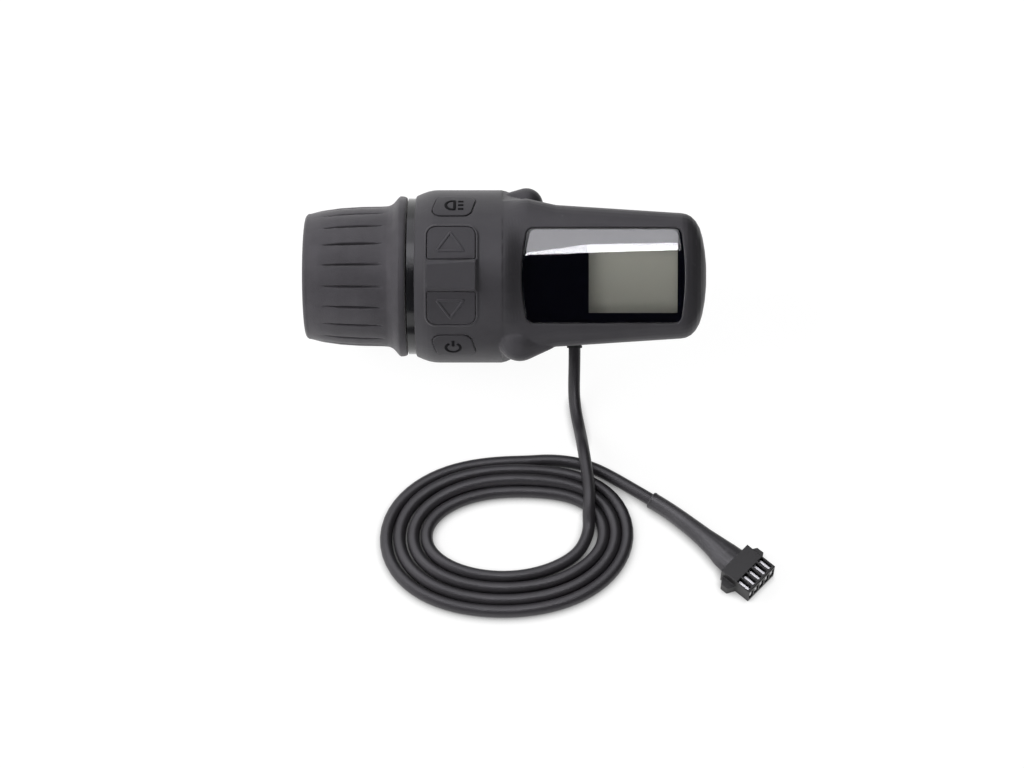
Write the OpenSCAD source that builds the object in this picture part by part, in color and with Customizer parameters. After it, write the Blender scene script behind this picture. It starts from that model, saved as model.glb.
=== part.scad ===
// Twist throttle with a built-in display for an electric bicycle, with its keys, clamp and signal cable.
// The bar axis is X, from the grip to the display. Z is up, and the unit lies on its barrel and cable.

/* [Handlebar and attitude] */
// Diameter of the handlebar that the unit clamps on
bar_d = 22.2; // [21.6:0.1:23]
// Gap between the handlebar and the bores that hold it, on the radius
bar_gap = 0.05; // [0.02:0.01:0.2]
// Tilt of the display towards the rider, from facing straight up
face_tilt = 34.1; // [20:0.1:40]

/* [Barrel] */
// Outer radius of the barrel
barrel_r = 28; // [27:0.1:30]
// Length of the barrel
barrel_len = 27.8; // [27.4:0.1:31]
// Wall thickness of the barrel
barrel_wall = 3.8; // [3.4:0.1:4]
// Radius of the rounded left end of the barrel
barrel_edge_r = 0.9; // [0.6:0.1:2]
// Drop of the barrel's surface towards its left end
barrel_crown = 1.7; // [0:0.1:1.8]
// Thickness of the wall that closes the barrel at the clamp
end_wall = 2.2; // [1.6:0.1:3]

/* [Grip] */
// Length of the turning grip
grip_len = 32.8; // [32:0.1:40]
// Radius of the grip at its outer end
grip_end_r = 20.4; // [19.8:0.1:21.4]
// Radius of the grip at its widest grooved part
grip_r = 22.7; // [22:0.1:23.5]
// Radius of the rim beside the barrel
rim_r = 26; // [25:0.1:26.5]
// Number of grooves round the grip
groove_count = 20; // [14:1:24]
// Length of a groove
groove_len = 19.2; // [15:0.1:20]
// Width of a groove at its middle
groove_w = 1.3; // [0.8:0.1:1.8]
// Depth of a groove
groove_depth = 1.2; // [0.6:0.1:1.6]
// Turn of the grip from closed to open throttle, in degrees
grip_turn = 70; // [50:1:75]

/* [Neck ring] */
// Step from the barrel down to the glossy ring between it and the grip
neck_step = 2.7; // [2.4:0.1:3.2]
// Width of the ring that shows
neck_w = 2.4; // [1.8:0.1:3]
// Gap between the ring and the turning grip
grip_gap = 0.6; // [0.5:0.1:1.2]

/* [Clamp] */
// Width of the clamp along the bar
clamp_w = 17.2; // [16.4:0.1:19]
// Distance of each clamp screw from the bar axis
clamp_screw_v = 18.6; // [18.4:0.1:19]
// Size that the rounds of the two screw bosses follow
boss_r = 9; // [8.8:0.1:9.2]
// Radius of the clamp screw thread
clamp_screw_r = 2; // [1.8:0.1:2.2]
// Gap between the two clamp halves
clamp_gap = 0.6; // [0.4:0.1:1]

/* [Display] */
// Distance from the clamp centre to the rounded end of the display
display_len = 56.5; // [56:0.1:62]
// Drop of the display face below the top of the barrel
face_drop = 3.4; // [2:0.1:3.6]
// Half the width of the display beside the clamp
display_near_w = 22.6; // [22.4:0.1:24]
// Half the width of the display near its end
display_far_w = 20; // [19.6:0.1:21]
// Depth of the display cover behind the bar axis
cover_depth = 9; // [8:0.1:11]
// Wall thickness of the housing and its cover
wall = 2.2; // [2:0.1:2.6]
// Radius of the crowned face across the bar
crown_r = 70; // [60:1:100]
// Length of the lens
lens_len = 49.3; // [48:0.1:49.6]
// Width of the lens across the bar
lens_w = 30.2; // [29.6:0.1:31]
// Thickness of the lens
lens_t = 1.8; // [1.4:0.1:2]
// Length of the glass panel
lcd_len = 31; // [29:0.1:31]
// Width of the glass panel across the bar
lcd_w = 25; // [23:0.1:26]

/* [Keys] */
// Length of the two arrow keys along the bar
arrow_key_len = 15.2; // [13:0.1:15.6]
// Width of the two arrow keys
arrow_key_w = 11; // [10:0.1:11.4]
// Length of the lamp key and the power key
small_key_len = 12.6; // [11:0.1:13]
// Width of the lamp key and the power key
small_key_w = 10.2; // [9:0.1:10.6]
// Angle of the arrow keys from the middle of the face, in degrees
arrow_key_angle = 21.8; // [21.4:0.1:24]
// Angle of the lamp and power keys from the middle of the face, in degrees
small_key_angle = 53; // [52.6:0.1:56]
// Gap between a key and its window
key_gap = 0.12; // [0.1:0.01:0.35]
// Height of a key above the barrel
key_proud = 0.3; // [0.2:0.05:0.7]
// Travel of a key
key_travel = 0.7; // [0.4:0.1:0.8]

/* [Cable] */
// Diameter of the cable
cable_d = 3.7; // [3.4:0.1:3.7]
// Distance between neighbouring turns of the coil
coil_pitch = 4.2; // [4.2:0.01:4.4]
// Turns in the coil
coil_turns = 3.75; // [1.75:1:3.75]
// Half the length of the innermost turn
coil_a = 24.8; // [22:0.1:26]
// Half the width of the innermost turn
coil_b = 13.8; // [12:0.1:15]

/* [Connector] */
// Distance between neighbouring terminals
pin_pitch = 2.5; // [2.4:0.01:2.54]
// Number of terminals
pin_count = 5; // [3:1:6]
// Length of the connector body
plug_len = 11.4; // [10:0.1:14]
// Height of the connector body
plug_h = 6; // [5.6:0.1:7]

/* [Hidden] */
$fn = 96;

// Overrun of every cut past the face that it opens
cut = 1;
// Faces of the children of a hull
soft_fn = 32;
// Thickness of the slices that the housing form is stretched over
slice_t = 0.2;
// Clearance where two pieces of the case seat in each other
seat_gap = 0.05;

// Places along the bar
barrel_right_x = -clamp_w / 2;
barrel_left_x = barrel_right_x - barrel_len;
neck_left_x = barrel_left_x - neck_w;
grip_right_x = neck_left_x - grip_gap;
grip_left_x = grip_right_x - grip_len;
end_wall_x = barrel_right_x - end_wall;
bore_r = bar_d / 2 + bar_gap;
barrel_in_r = barrel_r - barrel_wall;
barrel_crown_len = 7.3;
barrel_edge_angle = 8;
neck_r = barrel_r - neck_step;
face_height = barrel_r - face_drop;

// Inner sleeve on the bar and the tube that turns on it
sleeve_wall = 1.35;
sleeve_r = bore_r + sleeve_wall;
sleeve_flange_r = 15.2;
sleeve_flange_t = 1.8;
running_gap = 0.06;
tube_wall = 1.9;
tube_in_r = sleeve_r + running_gap;
tube_r = tube_in_r + tube_wall;
tube_lip = 1.2;
tube_end_r = 18.6;
tube_tail = 16;
sleeve_end_gap = 0.3;
tube_right_x = barrel_left_x + tube_tail;

// Rubber grip: its rounded end, rim and cone, and shares of its length and of its rise in radius
grip_end_round = 1.6;
grip_end_angle = 20;
rim_w = 2.1;
cone_w = 3.6;
grip_body_share = [[0.16, 0.39], [0.34, 0.76], [0.55, 0.95], [0.76, 1]];
grip_cone_share = [[0, 0.05], [0.4, 0.29], [0.85, 0.89], [1, 1]];
rim_edge_share = 0.2;
groove_mid_share = 0.512;

// Collar of the tube, its lug, the magnet and the stops of the turn
spigot_len = 3;
bush_wall = 1.9;
bush_flange_r = 17.6;
bush_flange_t = 1.2;
collar_gap = 0.3;
collar_t = 1.6;
collar_r = 17.2;
lug_gap = 1.8;
lug_r = barrel_in_r - lug_gap;
lug_w = 7;
lug_angle = 215;
magnet_r = 2;
magnet_t = 1.4;
magnet_in = 4.2;
magnet_place_r = barrel_in_r - magnet_in;
magnet_gap = 0.5;
lug_half_angle = asin(lug_w / 2 / magnet_place_r);
stop_angle = 8;
stop_spare_angle = 1.2;
stop_gap = 1.2;
bush_right_x = barrel_left_x + spigot_len + bush_flange_t;
collar_x = bush_right_x + collar_gap;
magnet_x = collar_x + collar_t;
sensor_x = magnet_x + magnet_t + magnet_gap;
sensor_t = 1;
sensor_w = 4;
board_t = 0.8;
hall_board_w = 6.8;
hall_board_in_r = barrel_in_r - hall_board_w;
hall_board_half_angle = 48;
neck_screw_in = 3.6;
neck_screw_place_r = barrel_in_r - neck_screw_in;
neck_screw_r = 1;
neck_screw_head_r = 2;
neck_screw_head_t = 1.5;
neck_screw_len = 9;
neck_boss_r = 2.7;
neck_boss_len = 9;
neck_screw_angles = [100, 260];
spring_wire = 1.1;
spring_mean_r = tube_r + 1.9;
spring_turns = 4;
spring_pitch = 1.6;
spring_x = sensor_x + sensor_t + board_t + spring_wire;
spring_leg_r = 19.4;
spring_leg_share = [0.1, 0.5, 0.8];
spring_rings = 10;
spring_sides = 6;

// Stack under the keys, as distances from the bar axis
key_flange_gap = 0.2;
key_flange_t = 0.9;
key_flange_lip = 0.6;
key_corner_r = 2.8;
key_inner_corner_r = 0.5;
small_key_lean = 0.5;
lip_w = 0.8;
lip_h = 0.35;
stem_r = 2;
plunger_r = 1.6;
plunger_show = 0.85;
plunger_len = 1.8;
switch_w = 6;
switch_h = 2.1;
switch_depth = 5.1;
switch_board_in_r = barrel_in_r - switch_depth;
switch_board_r = switch_board_in_r + board_t;
switch_base_r = switch_board_r + seat_gap;
switch_top_r = switch_base_r + switch_h;
plunger_top_r = switch_top_r + plunger_show;
key_flange_r = barrel_in_r - key_flange_gap;
carrier_t = 1.2;
carrier_r = switch_board_in_r - seat_gap;
carrier_half_angle = 70;
key_shift = 2.1;
key_mid_x = barrel_left_x + barrel_len / 2 - key_shift;
small_key_shift = 0.7;

// Raised ridge between the arrow keys
ridge_left_w = 4.3;
ridge_right_w = 5.3;
ridge_left_h = 0.4;
ridge_right_h = 1.5;
ridge_root = 3;
ridge_top_share = 0.86;
ridge_foot_share = 0.3;

// Sections of the display form: place along the bar, half width, height of the face
shoulder_len = 8;
shoulder_x = barrel_right_x + shoulder_len;
shoulder_w = 24.6;
shoulder_steps = 8;
edge_r = 7;
edge_max_share = 0.6;
nose_share = [0, 0.2, 0.4, 0.58, 0.74, 0.86, 0.95, 1];
nose_w_share = [1, 0.985, 0.945, 0.875, 0.77, 0.63, 0.44, 0.22];
nose_drop_share = [0, 0.03, 0.1, 0.2, 0.35, 0.54, 0.76, 0.96];
nose_len = 8;
nose_drop = 9;
nose_x = display_len - nose_len;
slices = concat([[shoulder_x, shoulder_w, face_height], [clamp_w / 2, display_near_w, face_height]],
    [for (i = [0:len(nose_share) - 1]) [nose_x + nose_share[i] * nose_len, nose_w_share[i] * display_far_w,
        face_height - nose_drop_share[i] * nose_drop]]);

// Lens, its seat and what lies under it
lens_reach = 0.4;
lens_left_x = shoulder_x - lens_reach;
lens_right_x = lens_left_x + lens_len;
lens_corner_r = 2.4;
lens_left_bulge = 1.4;
lens_right_bulge = 0.9;
lens_side_steps = 6;
lens_gap = 0.12;
gasket_t = 0.4;
ledge_w = 1.5;
ledge_t = 1.2;
face_wall = lens_t + gasket_t + ledge_t;
clamp_side_wall = 1;
cavity_left_x = clamp_w / 2 + clamp_side_wall;
trough_gap = 0.85;
trough_r = bore_r + trough_gap;
arch_wall = 1.8;
arch_r = trough_r + arch_wall;
main_board_t = 1.6;
backlight_t = 1.2;
glass_t = 1.6;
glass_drop = 1.54;
glass_top = face_height - face_wall - glass_drop;
backlight_top = glass_top - glass_t;
board_top = backlight_top - backlight_t;
board_bottom = board_top - main_board_t;
chip_t = 1.1;
board_inset = 6.6;
board_left_x = cavity_left_x + board_inset;
board_gap = 0.2;
board_len = display_len - 2 * wall - board_gap - board_left_x;
board_near_w = 16.8;
board_far_w = 13;
frame_wall = 0.9;
frame_gap = 0.1;
lcd_margin = 0.7;
lcd_mid_x = lens_right_x - lcd_margin - lcd_len / 2;
frame_drop = 0.56;
frame_top = glass_top - frame_drop;
post_r = 1.6;
board_screw_r = 0.8;
board_screw_head_r = 1.5;
board_screw_head_t = 1;
board_screw_len = 3.4;
post_near_inset = [2.2, 1.4];
post_far_inset = [1.5, 1.8];
posts = [for (side = [-1, 1]) each [
    [board_left_x + post_near_inset[0], side * (board_near_w - post_near_inset[1])],
    [board_left_x + board_len - post_far_inset[0], side * (board_far_w - post_far_inset[1])]]];
cover_screw_r = 1.25;
cover_screw_head_r = 2.3;
cover_screw_head_t = 1.8;
cover_boss_r = 2.6;
cover_screw_len = 16;
cover_boss_h = 13;
cover_near_inset = [2.4, 5.8];
cover_far_inset = [3, 3.6];
cover_posts = [for (side = [-1, 1]) each [[cavity_left_x + cover_near_inset[0],
    side * (display_near_w - cover_near_inset[1])],
    [nose_x - cover_far_inset[0], side * (display_far_w - cover_far_inset[1])]]];
cover_lip = 3;

// Clamp halves
clamp_shell_r = 17.4;
clamp_side_gap = 0.15;
clamp_x = clamp_w / 2 - clamp_side_gap;
clamp_ear_h = 9.4;
clamp_head_r = 3.6;
clamp_head_t = 4;
clamp_screw_len = 12;
insert_r = 2.9;
insert_len = 7;
// Rounds that each boss wraps: place from its screw along and across the bar and radius, all as shares of
// boss_r, and height of its dome's centre as a share of the height of the face
low_boss_shares = [[0, 0, 0.67, 0.6], [-0.33, 0.16, 0.8, 0.61], [0.62, 0.16, 0.4, 0.65]];
high_boss_shares = [[0, 0, 0.67, 0.16], [-0.09, 0.5, 0.6, 0.16], [-0.56, 0.5, 0.47, 0.16]];

// Cable outlet in the cover, on the side that faces the rider
outlet_x = 15;
outlet_level = -3.4;
gland_r = 2.3;
gland_lip_r = 2.5;
gland_lip_t = 0.8;
gland_in = 4.4;
gland_gap = 0.3;
outlet_side = lookup(outlet_x, [for (s = slices) [s[0], s[1]]]) + gland_gap;

// The surface that the unit lies on
table_z = -barrel_r;
cable_r = cable_d / 2;
cable_z = table_z + cable_r;

// Place and direction at which the cable leaves the outlet
out_dir = [0, -cos(face_tilt), -sin(face_tilt)];
out_v = -outlet_side - gland_lip_t;
outlet = [outlet_x, out_v * cos(face_tilt) - outlet_level * sin(face_tilt),
    out_v * sin(face_tilt) + outlet_level * cos(face_tilt)];

// Coil: its centre on the table, and the points of its turns
coil_x = -6.8;
coil_y = -82.4;
coil_rings = 24;
coil_sides = 6;
cable_sides = 8;
function coil_normal(t) = let (n = [coil_b * cos(t), -coil_a * sin(t)]) n / norm(n);
// After half a turn the turns bulge where the cable comes down inside them
coil_bulge = 3;
bulge_mid = 335;
bulge_half = 60;
function bulge(t) = let (off = abs((t - bulge_mid + 180) % 360 - 180))
    t < 180 || off > bulge_half ? 0 : coil_bulge * pow(cos(90 * off / bulge_half), 2);
function coil_point(t) = let (n = coil_normal(t), out = coil_pitch * t / 360 + bulge(t))
    [coil_x + coil_a * cos(t) + out * n[0], coil_y - coil_b * sin(t) + out * n[1], cable_z];
function coil_dir(t) = let (d = coil_point(t + 0.5) - coil_point(t - 0.5)) d / norm(d);
coil_from = 12;
coil_to = 360 * coil_turns;
coil_steps = round(coil_rings * (coil_to - coil_from) / 360);
coil_start = coil_point(coil_from) - cable_d * coil_dir(coil_from);
coil_end = coil_point(coil_to) + cable_d * coil_dir(coil_to);
coil_path = concat([coil_start],
    [for (i = [0:coil_steps]) coil_point(coil_from + (coil_to - coil_from) * i / coil_steps)], [coil_end]);

// Cable from the outlet to the coil: it drops to the table, crosses the turns and comes down inside them
lead_route = [outlet, outlet + cable_d * out_dir, [14.9, -25.2, -21.4], [14.8, -29.2, -23.8],
    [14.8, -33.6, -25.5], [15, -38.4, -26.1], [15.4, -42.4, -26.0], [15.8, -46, -24.6],
    [16.3, -49.4, -22.7], [16.8, -53.2, -21.7], [17.3, -57.4, -21.6], [17.9, -62, -21.6],
    [18.4, -66.2, -21.6], [18.7, -70, -21.7], [18.7, -73.4, -22.9], [18.5, -76.2, -24.8],
    coil_start - cable_d * coil_dir(coil_from), coil_start];
// Cable from the coil to the heat-shrink sleeve
tail_route = [coil_end, coil_end + cable_d * coil_dir(coil_to), [4, -52.9, -26.15], [8.6, -53.2, -26.15],
    [14, -54.2, -26.15], [19, -55.9, -26.15], [24, -58.6, -26.1], [29, -61.9, -25.9],
    [33, -64.9, -25.5], [36, -67, -25.35], [39, -69.1, -25.35]];

// Heat-shrink sleeve: places along its middle, and half its width and half its height at each
sleeve_d = 5.3;
plug_dir = -43;
plug_back = [64.2, -91.7, -25];
sleeve_step = 3.8;
sleeve_route = [[39, -69.1, -25.35], [42, -71.2, -25.35], [46, -74.3, -25.35], [51, -78.7, -25.3],
    [55.2, -82.7, -25.2], [58.8, -86.2, -25.1],
    plug_back - sleeve_step * [cos(plug_dir), sin(plug_dir), 0], plug_back];
sleeve_half_w_share = [1, 1, 1.02, 1.1, 1.24, 1.5, 1.78, 1.92];
sleeve_half_h_share = [1, 1, 1, 1, 0.98, 0.94, 0.9, 0.86];
sleeve_sides = 16;

// Connector
plug_side = 0.05;
plug_w = pin_count * pin_pitch + 2 * plug_side;
plug_wall = 0.9;
slot_len = 5.2;
slot_w = 1.8;
mouth_depth = 7;
mouth_h = 3.6;
ear_len = 5.6;
ear_w = 2.5;
ear_top_shares = [0.3, 0.75];
ear_h = 3.4;
pin_w = 1;
pin_h = 3;
ear_start = 0.6;

// Least gap between the turns of the coil, measured on the points of its path
coil_gap = min([for (i = [0:len(coil_path) - 1]) for (j = [i + coil_rings / 2:1:len(coil_path) - 1])
    norm(coil_path[i] - coil_path[j])]) - cable_d;
echo(least_gap_between_turns = coil_gap);

// Places a child in the tilted frame of the unit: X along the bar, Y across the face, Z out of the face
module unit() {
    rotate([face_tilt, 0, 0]) children();
}

// Turns a child's Z onto the bar axis, from a place along it
module along_bar(x) {
    translate([x, 0, 0]) rotate([0, 90, 0]) children();
}

// Ring about the bar axis between two places
module ring(x0, x1, outer, inner) {
    along_bar(x0) difference() {
        cylinder(h = x1 - x0, r = outer);
        translate([0, 0, -cut]) cylinder(h = x1 - x0 + 2 * cut, r = inner);
    }
}

// Solid disc or rod about the bar axis between two places
module rod(x0, x1, r) {
    along_bar(x0) cylinder(h = x1 - x0, r = r);
}

// Turns a child round the bar axis, from the middle of the face towards its upper edge
module round_bar(angle) {
    rotate([-angle, 0, 0]) children();
}

// Part of a ring within an angle to each side of a direction
module ring_part(x0, x1, outer, inner, mid, half) {
    round_bar(mid) translate([x0, 0, 0]) rotate([90, 0, 90]) rotate([0, 0, 90 - half])
        rotate_extrude(angle = 2 * half) translate([inner, 0]) square([outer - inner, x1 - x0]);
}

// Points of an arc, its angle measured from the second axis towards the first
function arc(cx, cy, r, from, to, steps) =
    [for (i = [0:steps]) let (a = from + (to - from) * i / steps) [cx + r * sin(a), cy + r * cos(a)]];

// Outline across the display: crowned face, rounded edges, straight sides down to the bar axis
function face_outline(half_w, top, low) =
    let (e = min(edge_r, edge_max_share * half_w), a = asin((half_w - e) / (crown_r - e)),
        cy = top - crown_r + (crown_r - e) * cos(a), mid = arc(0, top - crown_r, crown_r, -a, a, 8))
    concat([[-half_w, low]], arc(-(half_w - e), cy, e, -90, -a, 6), mid,
        arc(half_w - e, cy, e, a, 90, 6), [[half_w, low]]);

// One thin slice of the display form, across the bar
module slice(s, shrink, low) {
    translate([s[0] + slice_t, 0, 0]) rotate([90, 0, -90]) linear_extrude(slice_t)
        mirror([1, 0]) polygon(face_outline(s[1] - shrink, s[2] - shrink, low));
}

// Section of the shoulder, from the round barrel (share 0) to the outline of the display (share 1)
function shoulder_section(share) = let (ease = share * share * (3 - 2 * share))
    [for (p = face_outline(shoulder_w, face_height, 0))
        p * (ease + (1 - ease) * (barrel_r - seat_gap) / norm(p))];
function placed(x, outline) = [for (p = outline) [x, p[0], p[1]]];

// Housing form above the bar axis: eased shoulder, tapered box and rounded nose, lofted through its sections
module display_form() {
    sections = concat(
        [placed(barrel_right_x - slice_t, shoulder_section(0))],
        [for (i = [0:shoulder_steps - 1])
            placed(barrel_right_x + shoulder_len * i / shoulder_steps, shoulder_section(i / shoulder_steps))],
        [for (s = slices) placed(s[0], face_outline(s[1], s[2], 0))]);
    sides = len(sections[0]);
    polyhedron([for (s = sections) each s], tube_faces(len(sections), sides));
}

// Lens outline with rounded corners, both its short sides bowed out
function bowed(x, bulge, half, way) = [for (i = [1:2 * lens_side_steps - 1])
    let (share = way * (i / lens_side_steps - 1)) [x + bulge * (1 - share * share), share * half]];
function lens_outline(grow) =
    let (l = lens_left_x - grow, r = lens_right_x + grow, h = lens_w / 2 + grow, c = lens_corner_r + grow)
    concat(arc(r - c, h - c, c, 0, 90, 6), bowed(r, lens_right_bulge, h - c, -1),
        arc(r - c, c - h, c, 90, 180, 6), arc(l + c, c - h, c, 180, 270, 6),
        bowed(l, -lens_left_bulge, h - c, 1), arc(l + c, h - c, c, -90, 0, 6));

// Space under the crowned face, down to a depth below it
module under_crown(depth) {
    translate([barrel_right_x, 0, face_height - crown_r]) rotate([0, 90, 0])
        cylinder(h = display_len + clamp_w, r = crown_r - depth, $fn = 4 * $fn);
}

// Prism of the lens outline that stands through the face
module lens_prism(grow) {
    linear_extrude(face_height + cut) polygon(lens_outline(grow));
}

// Form of a boss for a clamp screw: its rounds wrapped together, each domed towards the face
module screw_boss(side, shares) {
    translate([0, side * clamp_screw_v, 0]) hull() for (b = shares)
        translate([b[0], side * b[1], 0] * boss_r) {
            cylinder(h = b[3] * face_height, r = b[2] * boss_r, $fn = soft_fn);
            translate([0, 0, b[3] * face_height]) sphere(r = b[2] * boss_r, $fn = soft_fn);
        }
}

// Outline of the clamp ear behind a boss
module ear_outline(side, shares) {
    translate([0, side * clamp_screw_v]) hull() for (b = shares)
        translate([b[0], side * b[1]] * boss_r) circle(b[2] * boss_r, $fn = soft_fn);
}

// Outline of the barrel, from its rounded left end over its slight crown
barrel_edge = concat(
    arc(barrel_edge_r, barrel_r - barrel_crown - barrel_edge_r, barrel_edge_r, -90, -barrel_edge_angle, 6),
    [for (i = [1:4]) let (share = i / 4) [barrel_edge_r + share * (barrel_crown_len - barrel_edge_r),
        barrel_r - barrel_crown * pow(1 - share, 2)]]);

module barrel_form() {
    along_bar(barrel_left_x) rotate_extrude()
        polygon(concat([[0, 0]], [for (p = barrel_edge) [p[1], p[0]]], [[barrel_r, barrel_len],
            [0, barrel_len]]));
}

// Outline of a key in its plane, its outer side towards +Y, with a lean along the bar
function key_outline(len, w, lean, in_r, out_r) = concat(
    arc(lean - len / 2 + out_r, w / 2 - out_r, out_r, -90, 0, 5),
    arc(lean + len / 2 - out_r, w / 2 - out_r, out_r, 0, 90, 5),
    arc(len / 2 - lean - in_r, in_r - w / 2, in_r, 90, 180, 5),
    arc(in_r - lean - len / 2, in_r - w / 2, in_r, 180, 270, 5));

// Prism that a key slides in, along its middle direction; the key is arrow or small
module arrow_prism(side, grow) {
    round_bar(side * arrow_key_angle) translate([key_mid_x, 0, 0]) linear_extrude(barrel_r + 2 * cut)
        polygon([for (p = key_outline(arrow_key_len + 2 * grow, arrow_key_w + 2 * grow, 0,
            key_inner_corner_r + grow, key_corner_r + grow)) [p[0], side * p[1]]]);
}

module small_prism(side, grow) {
    round_bar(side * small_key_angle) translate([key_mid_x + small_key_shift, 0, 0])
        linear_extrude(barrel_r + 2 * cut)
            polygon([for (p = key_outline(small_key_len + 2 * grow, small_key_w + 2 * grow, small_key_lean,
                key_corner_r + grow, key_corner_r + grow)) [p[0], side * p[1]]]);
}

// Raised lip round the two arrow keys
module cluster_lip() {
    half = barrel_r * sin(arrow_key_angle + asin(arrow_key_w / 2 / barrel_r)) + lip_w;
    corner = key_corner_r + lip_w;
    intersection() {
        translate([key_mid_x, 0, 0]) linear_extrude(barrel_r + cut)
            polygon(key_outline(arrow_key_len + 2 * lip_w, 2 * half, 0, corner, corner));
        ring(barrel_left_x, barrel_right_x, barrel_r + lip_h, barrel_r - cut);
    }
}

// One end of the ridge between the arrow keys
module ridge_end(x, half_w, h) {
    translate([x, 0, 0]) rotate([90, 0, 90]) linear_extrude(slice_t)
        polygon([[-half_w, barrel_r - ridge_root], [-half_w, barrel_r - ridge_foot_share * h],
            [-ridge_top_share * half_w, barrel_r + h], [ridge_top_share * half_w, barrel_r + h],
            [half_w, barrel_r - ridge_foot_share * h], [half_w, barrel_r - ridge_root]]);
}

// Ridge between the arrow keys, widening and rising towards the display
module key_ridge() {
    hull() {
        ridge_end(key_mid_x - arrow_key_len / 2, ridge_left_w, ridge_left_h);
        ridge_end(key_mid_x + arrow_key_len / 2, ridge_right_w, ridge_right_h);
    }
}

module front_housing() {
    color("#4a474b") unit() difference() {
        union() {
            barrel_form();
            display_form();
            screw_boss(-1, low_boss_shares);
            screw_boss(1, high_boss_shares);
            key_ridge();
            cluster_lip();
        }
        barrel_space();
        display_space();
        // Below the bar axis only the barrel stays
        translate([barrel_right_x, -2 * barrel_r, -4 * barrel_r])
            cube([2 * display_len, 4 * barrel_r, 4 * barrel_r]);
        // Bar under the clamp
        rod(barrel_right_x - cut, clamp_w, bore_r);
        rod(clamp_w / 2, display_len, trough_r);
        // Threaded inserts
        for (side = [-1, 1]) translate([0, side * clamp_screw_v, -cut])
            cylinder(h = insert_len + cut, r = insert_r + seat_gap);
        for (side = [-1, 1]) {
            arrow_prism(side, key_gap);
            small_prism(side, key_gap);
        }
        // Seat of the lens and the window under it
        difference() {
            lens_prism(lens_gap);
            under_crown(lens_t + gasket_t);
        }
        translate([0, 0, arch_r]) lens_prism(-ledge_w);
    }
}

// Hollow of the barrel: the working space, the seat of the inner sleeve and the screw bosses left standing
module barrel_space() {
    difference() {
        rod(barrel_left_x - cut, end_wall_x, barrel_in_r);
        for (a = neck_screw_angles) round_bar(a) translate([barrel_left_x + spigot_len + seat_gap, 0,
            neck_screw_place_r]) rotate([0, 90, 0]) difference() {
                union() {
                    cylinder(h = neck_boss_len, r = neck_boss_r);
                    translate([-neck_boss_r - cut, -neck_boss_r, 0])
                        cube([neck_boss_r + cut, 2 * neck_boss_r, neck_boss_len]);
                }
                translate([0, 0, -cut]) cylinder(h = neck_boss_len, r = neck_screw_r + seat_gap);
            }
    }
    rod(end_wall_x - cut, barrel_right_x + cut, sleeve_r + seat_gap);
}

// Hollow of the display, with the posts for the board and the cover left standing
module display_space() {
    difference() {
        intersection() {
            hull() for (i = [1:len(slices) - 1])
                slice([max(slices[i][0], cavity_left_x), slices[i][1], slices[i][2]], wall, -cut);
            under_crown(face_wall);
            translate([cavity_left_x, -display_near_w, -cut])
                cube([display_len - 2 * wall - cavity_left_x, 2 * display_near_w, face_height]);
        }
        for (p = posts) translate([p[0], p[1], board_top + seat_gap]) difference() {
            cylinder(h = face_height, r = post_r);
            translate([0, 0, -cut]) cylinder(h = board_screw_len - main_board_t + cut,
                r = board_screw_r + seat_gap);
        }
        for (p = cover_posts) translate([p[0], p[1], seat_gap]) difference() {
            cylinder(h = face_height, r = cover_boss_r);
            translate([0, 0, -cut]) cylinder(h = cover_boss_h, r = cover_screw_r + seat_gap);
        }
    }
}

module rear_clamp() {
    color("#454246") unit() difference() {
        union() {
            intersection() {
                rod(-clamp_x, clamp_x, clamp_shell_r);
                translate([-clamp_w, -barrel_r, -barrel_r - clamp_gap])
                    cube([2 * clamp_w, 2 * barrel_r, barrel_r]);
            }
            intersection() {
                translate([0, 0, -clamp_ear_h]) linear_extrude(clamp_ear_h - clamp_gap) {
                    ear_outline(-1, low_boss_shares);
                    ear_outline(1, high_boss_shares);
                }
                translate([-clamp_x, -2 * barrel_r, -barrel_r])
                    cube([2 * clamp_x, 4 * barrel_r, 2 * barrel_r]);
            }
        }
        rod(-clamp_w, clamp_w, bore_r);
        for (side = [-1, 1]) translate([0, side * clamp_screw_v, 0]) {
            translate([0, 0, -barrel_r]) cylinder(h = 2 * barrel_r, r = clamp_screw_r + 2 * seat_gap);
            translate([0, 0, -barrel_r]) cylinder(h = barrel_r - clamp_ear_h + clamp_head_t,
                r = clamp_head_r + seat_gap);
        }
    }
}

// Half of the cover form under the bar axis, with rounded lower edges
module cover_slice(s) {
    translate([s[0] + slice_t, 0, 0]) rotate([90, 0, -90]) linear_extrude(slice_t)
        polygon(concat([[-s[1], -seat_gap]], [[s[1], -seat_gap]],
            [[s[1], cover_lip - cover_depth], [s[1] - cover_lip, -cover_depth]],
            [[cover_lip - s[1], -cover_depth], [-s[1], cover_lip - cover_depth]]));
}

module display_cover() {
    color("#454246") unit() difference() {
        union() {
            hull() for (i = [1:len(slices) - 1]) cover_slice([min(slices[i][0], display_len - slice_t),
                slices[i][1], 0]);
            // Arch over the bar
            intersection() {
                rod(cavity_left_x + seat_gap, nose_x + nose_share[2] * nose_len - wall, arch_r);
                translate([0, -arch_r, -seat_gap]) cube([display_len, 2 * arch_r, arch_r]);
            }
        }
        rod(0, 2 * display_len, trough_r);
        // Open towards the back
        translate([0, -trough_r, -2 * barrel_r]) cube([2 * display_len, 2 * trough_r, 2 * barrel_r]);
        for (p = cover_posts) translate([p[0], p[1], -barrel_r]) {
            cylinder(h = 2 * barrel_r, r = cover_screw_r + seat_gap);
            cylinder(h = barrel_r - cover_depth + cover_screw_head_t, r = cover_screw_head_r + seat_gap);
        }
        translate([outlet_x, 0, outlet_level]) rotate([90, 0, 0]) {
            cylinder(h = barrel_r, r = gland_r + seat_gap);
        }
    }
}

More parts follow.
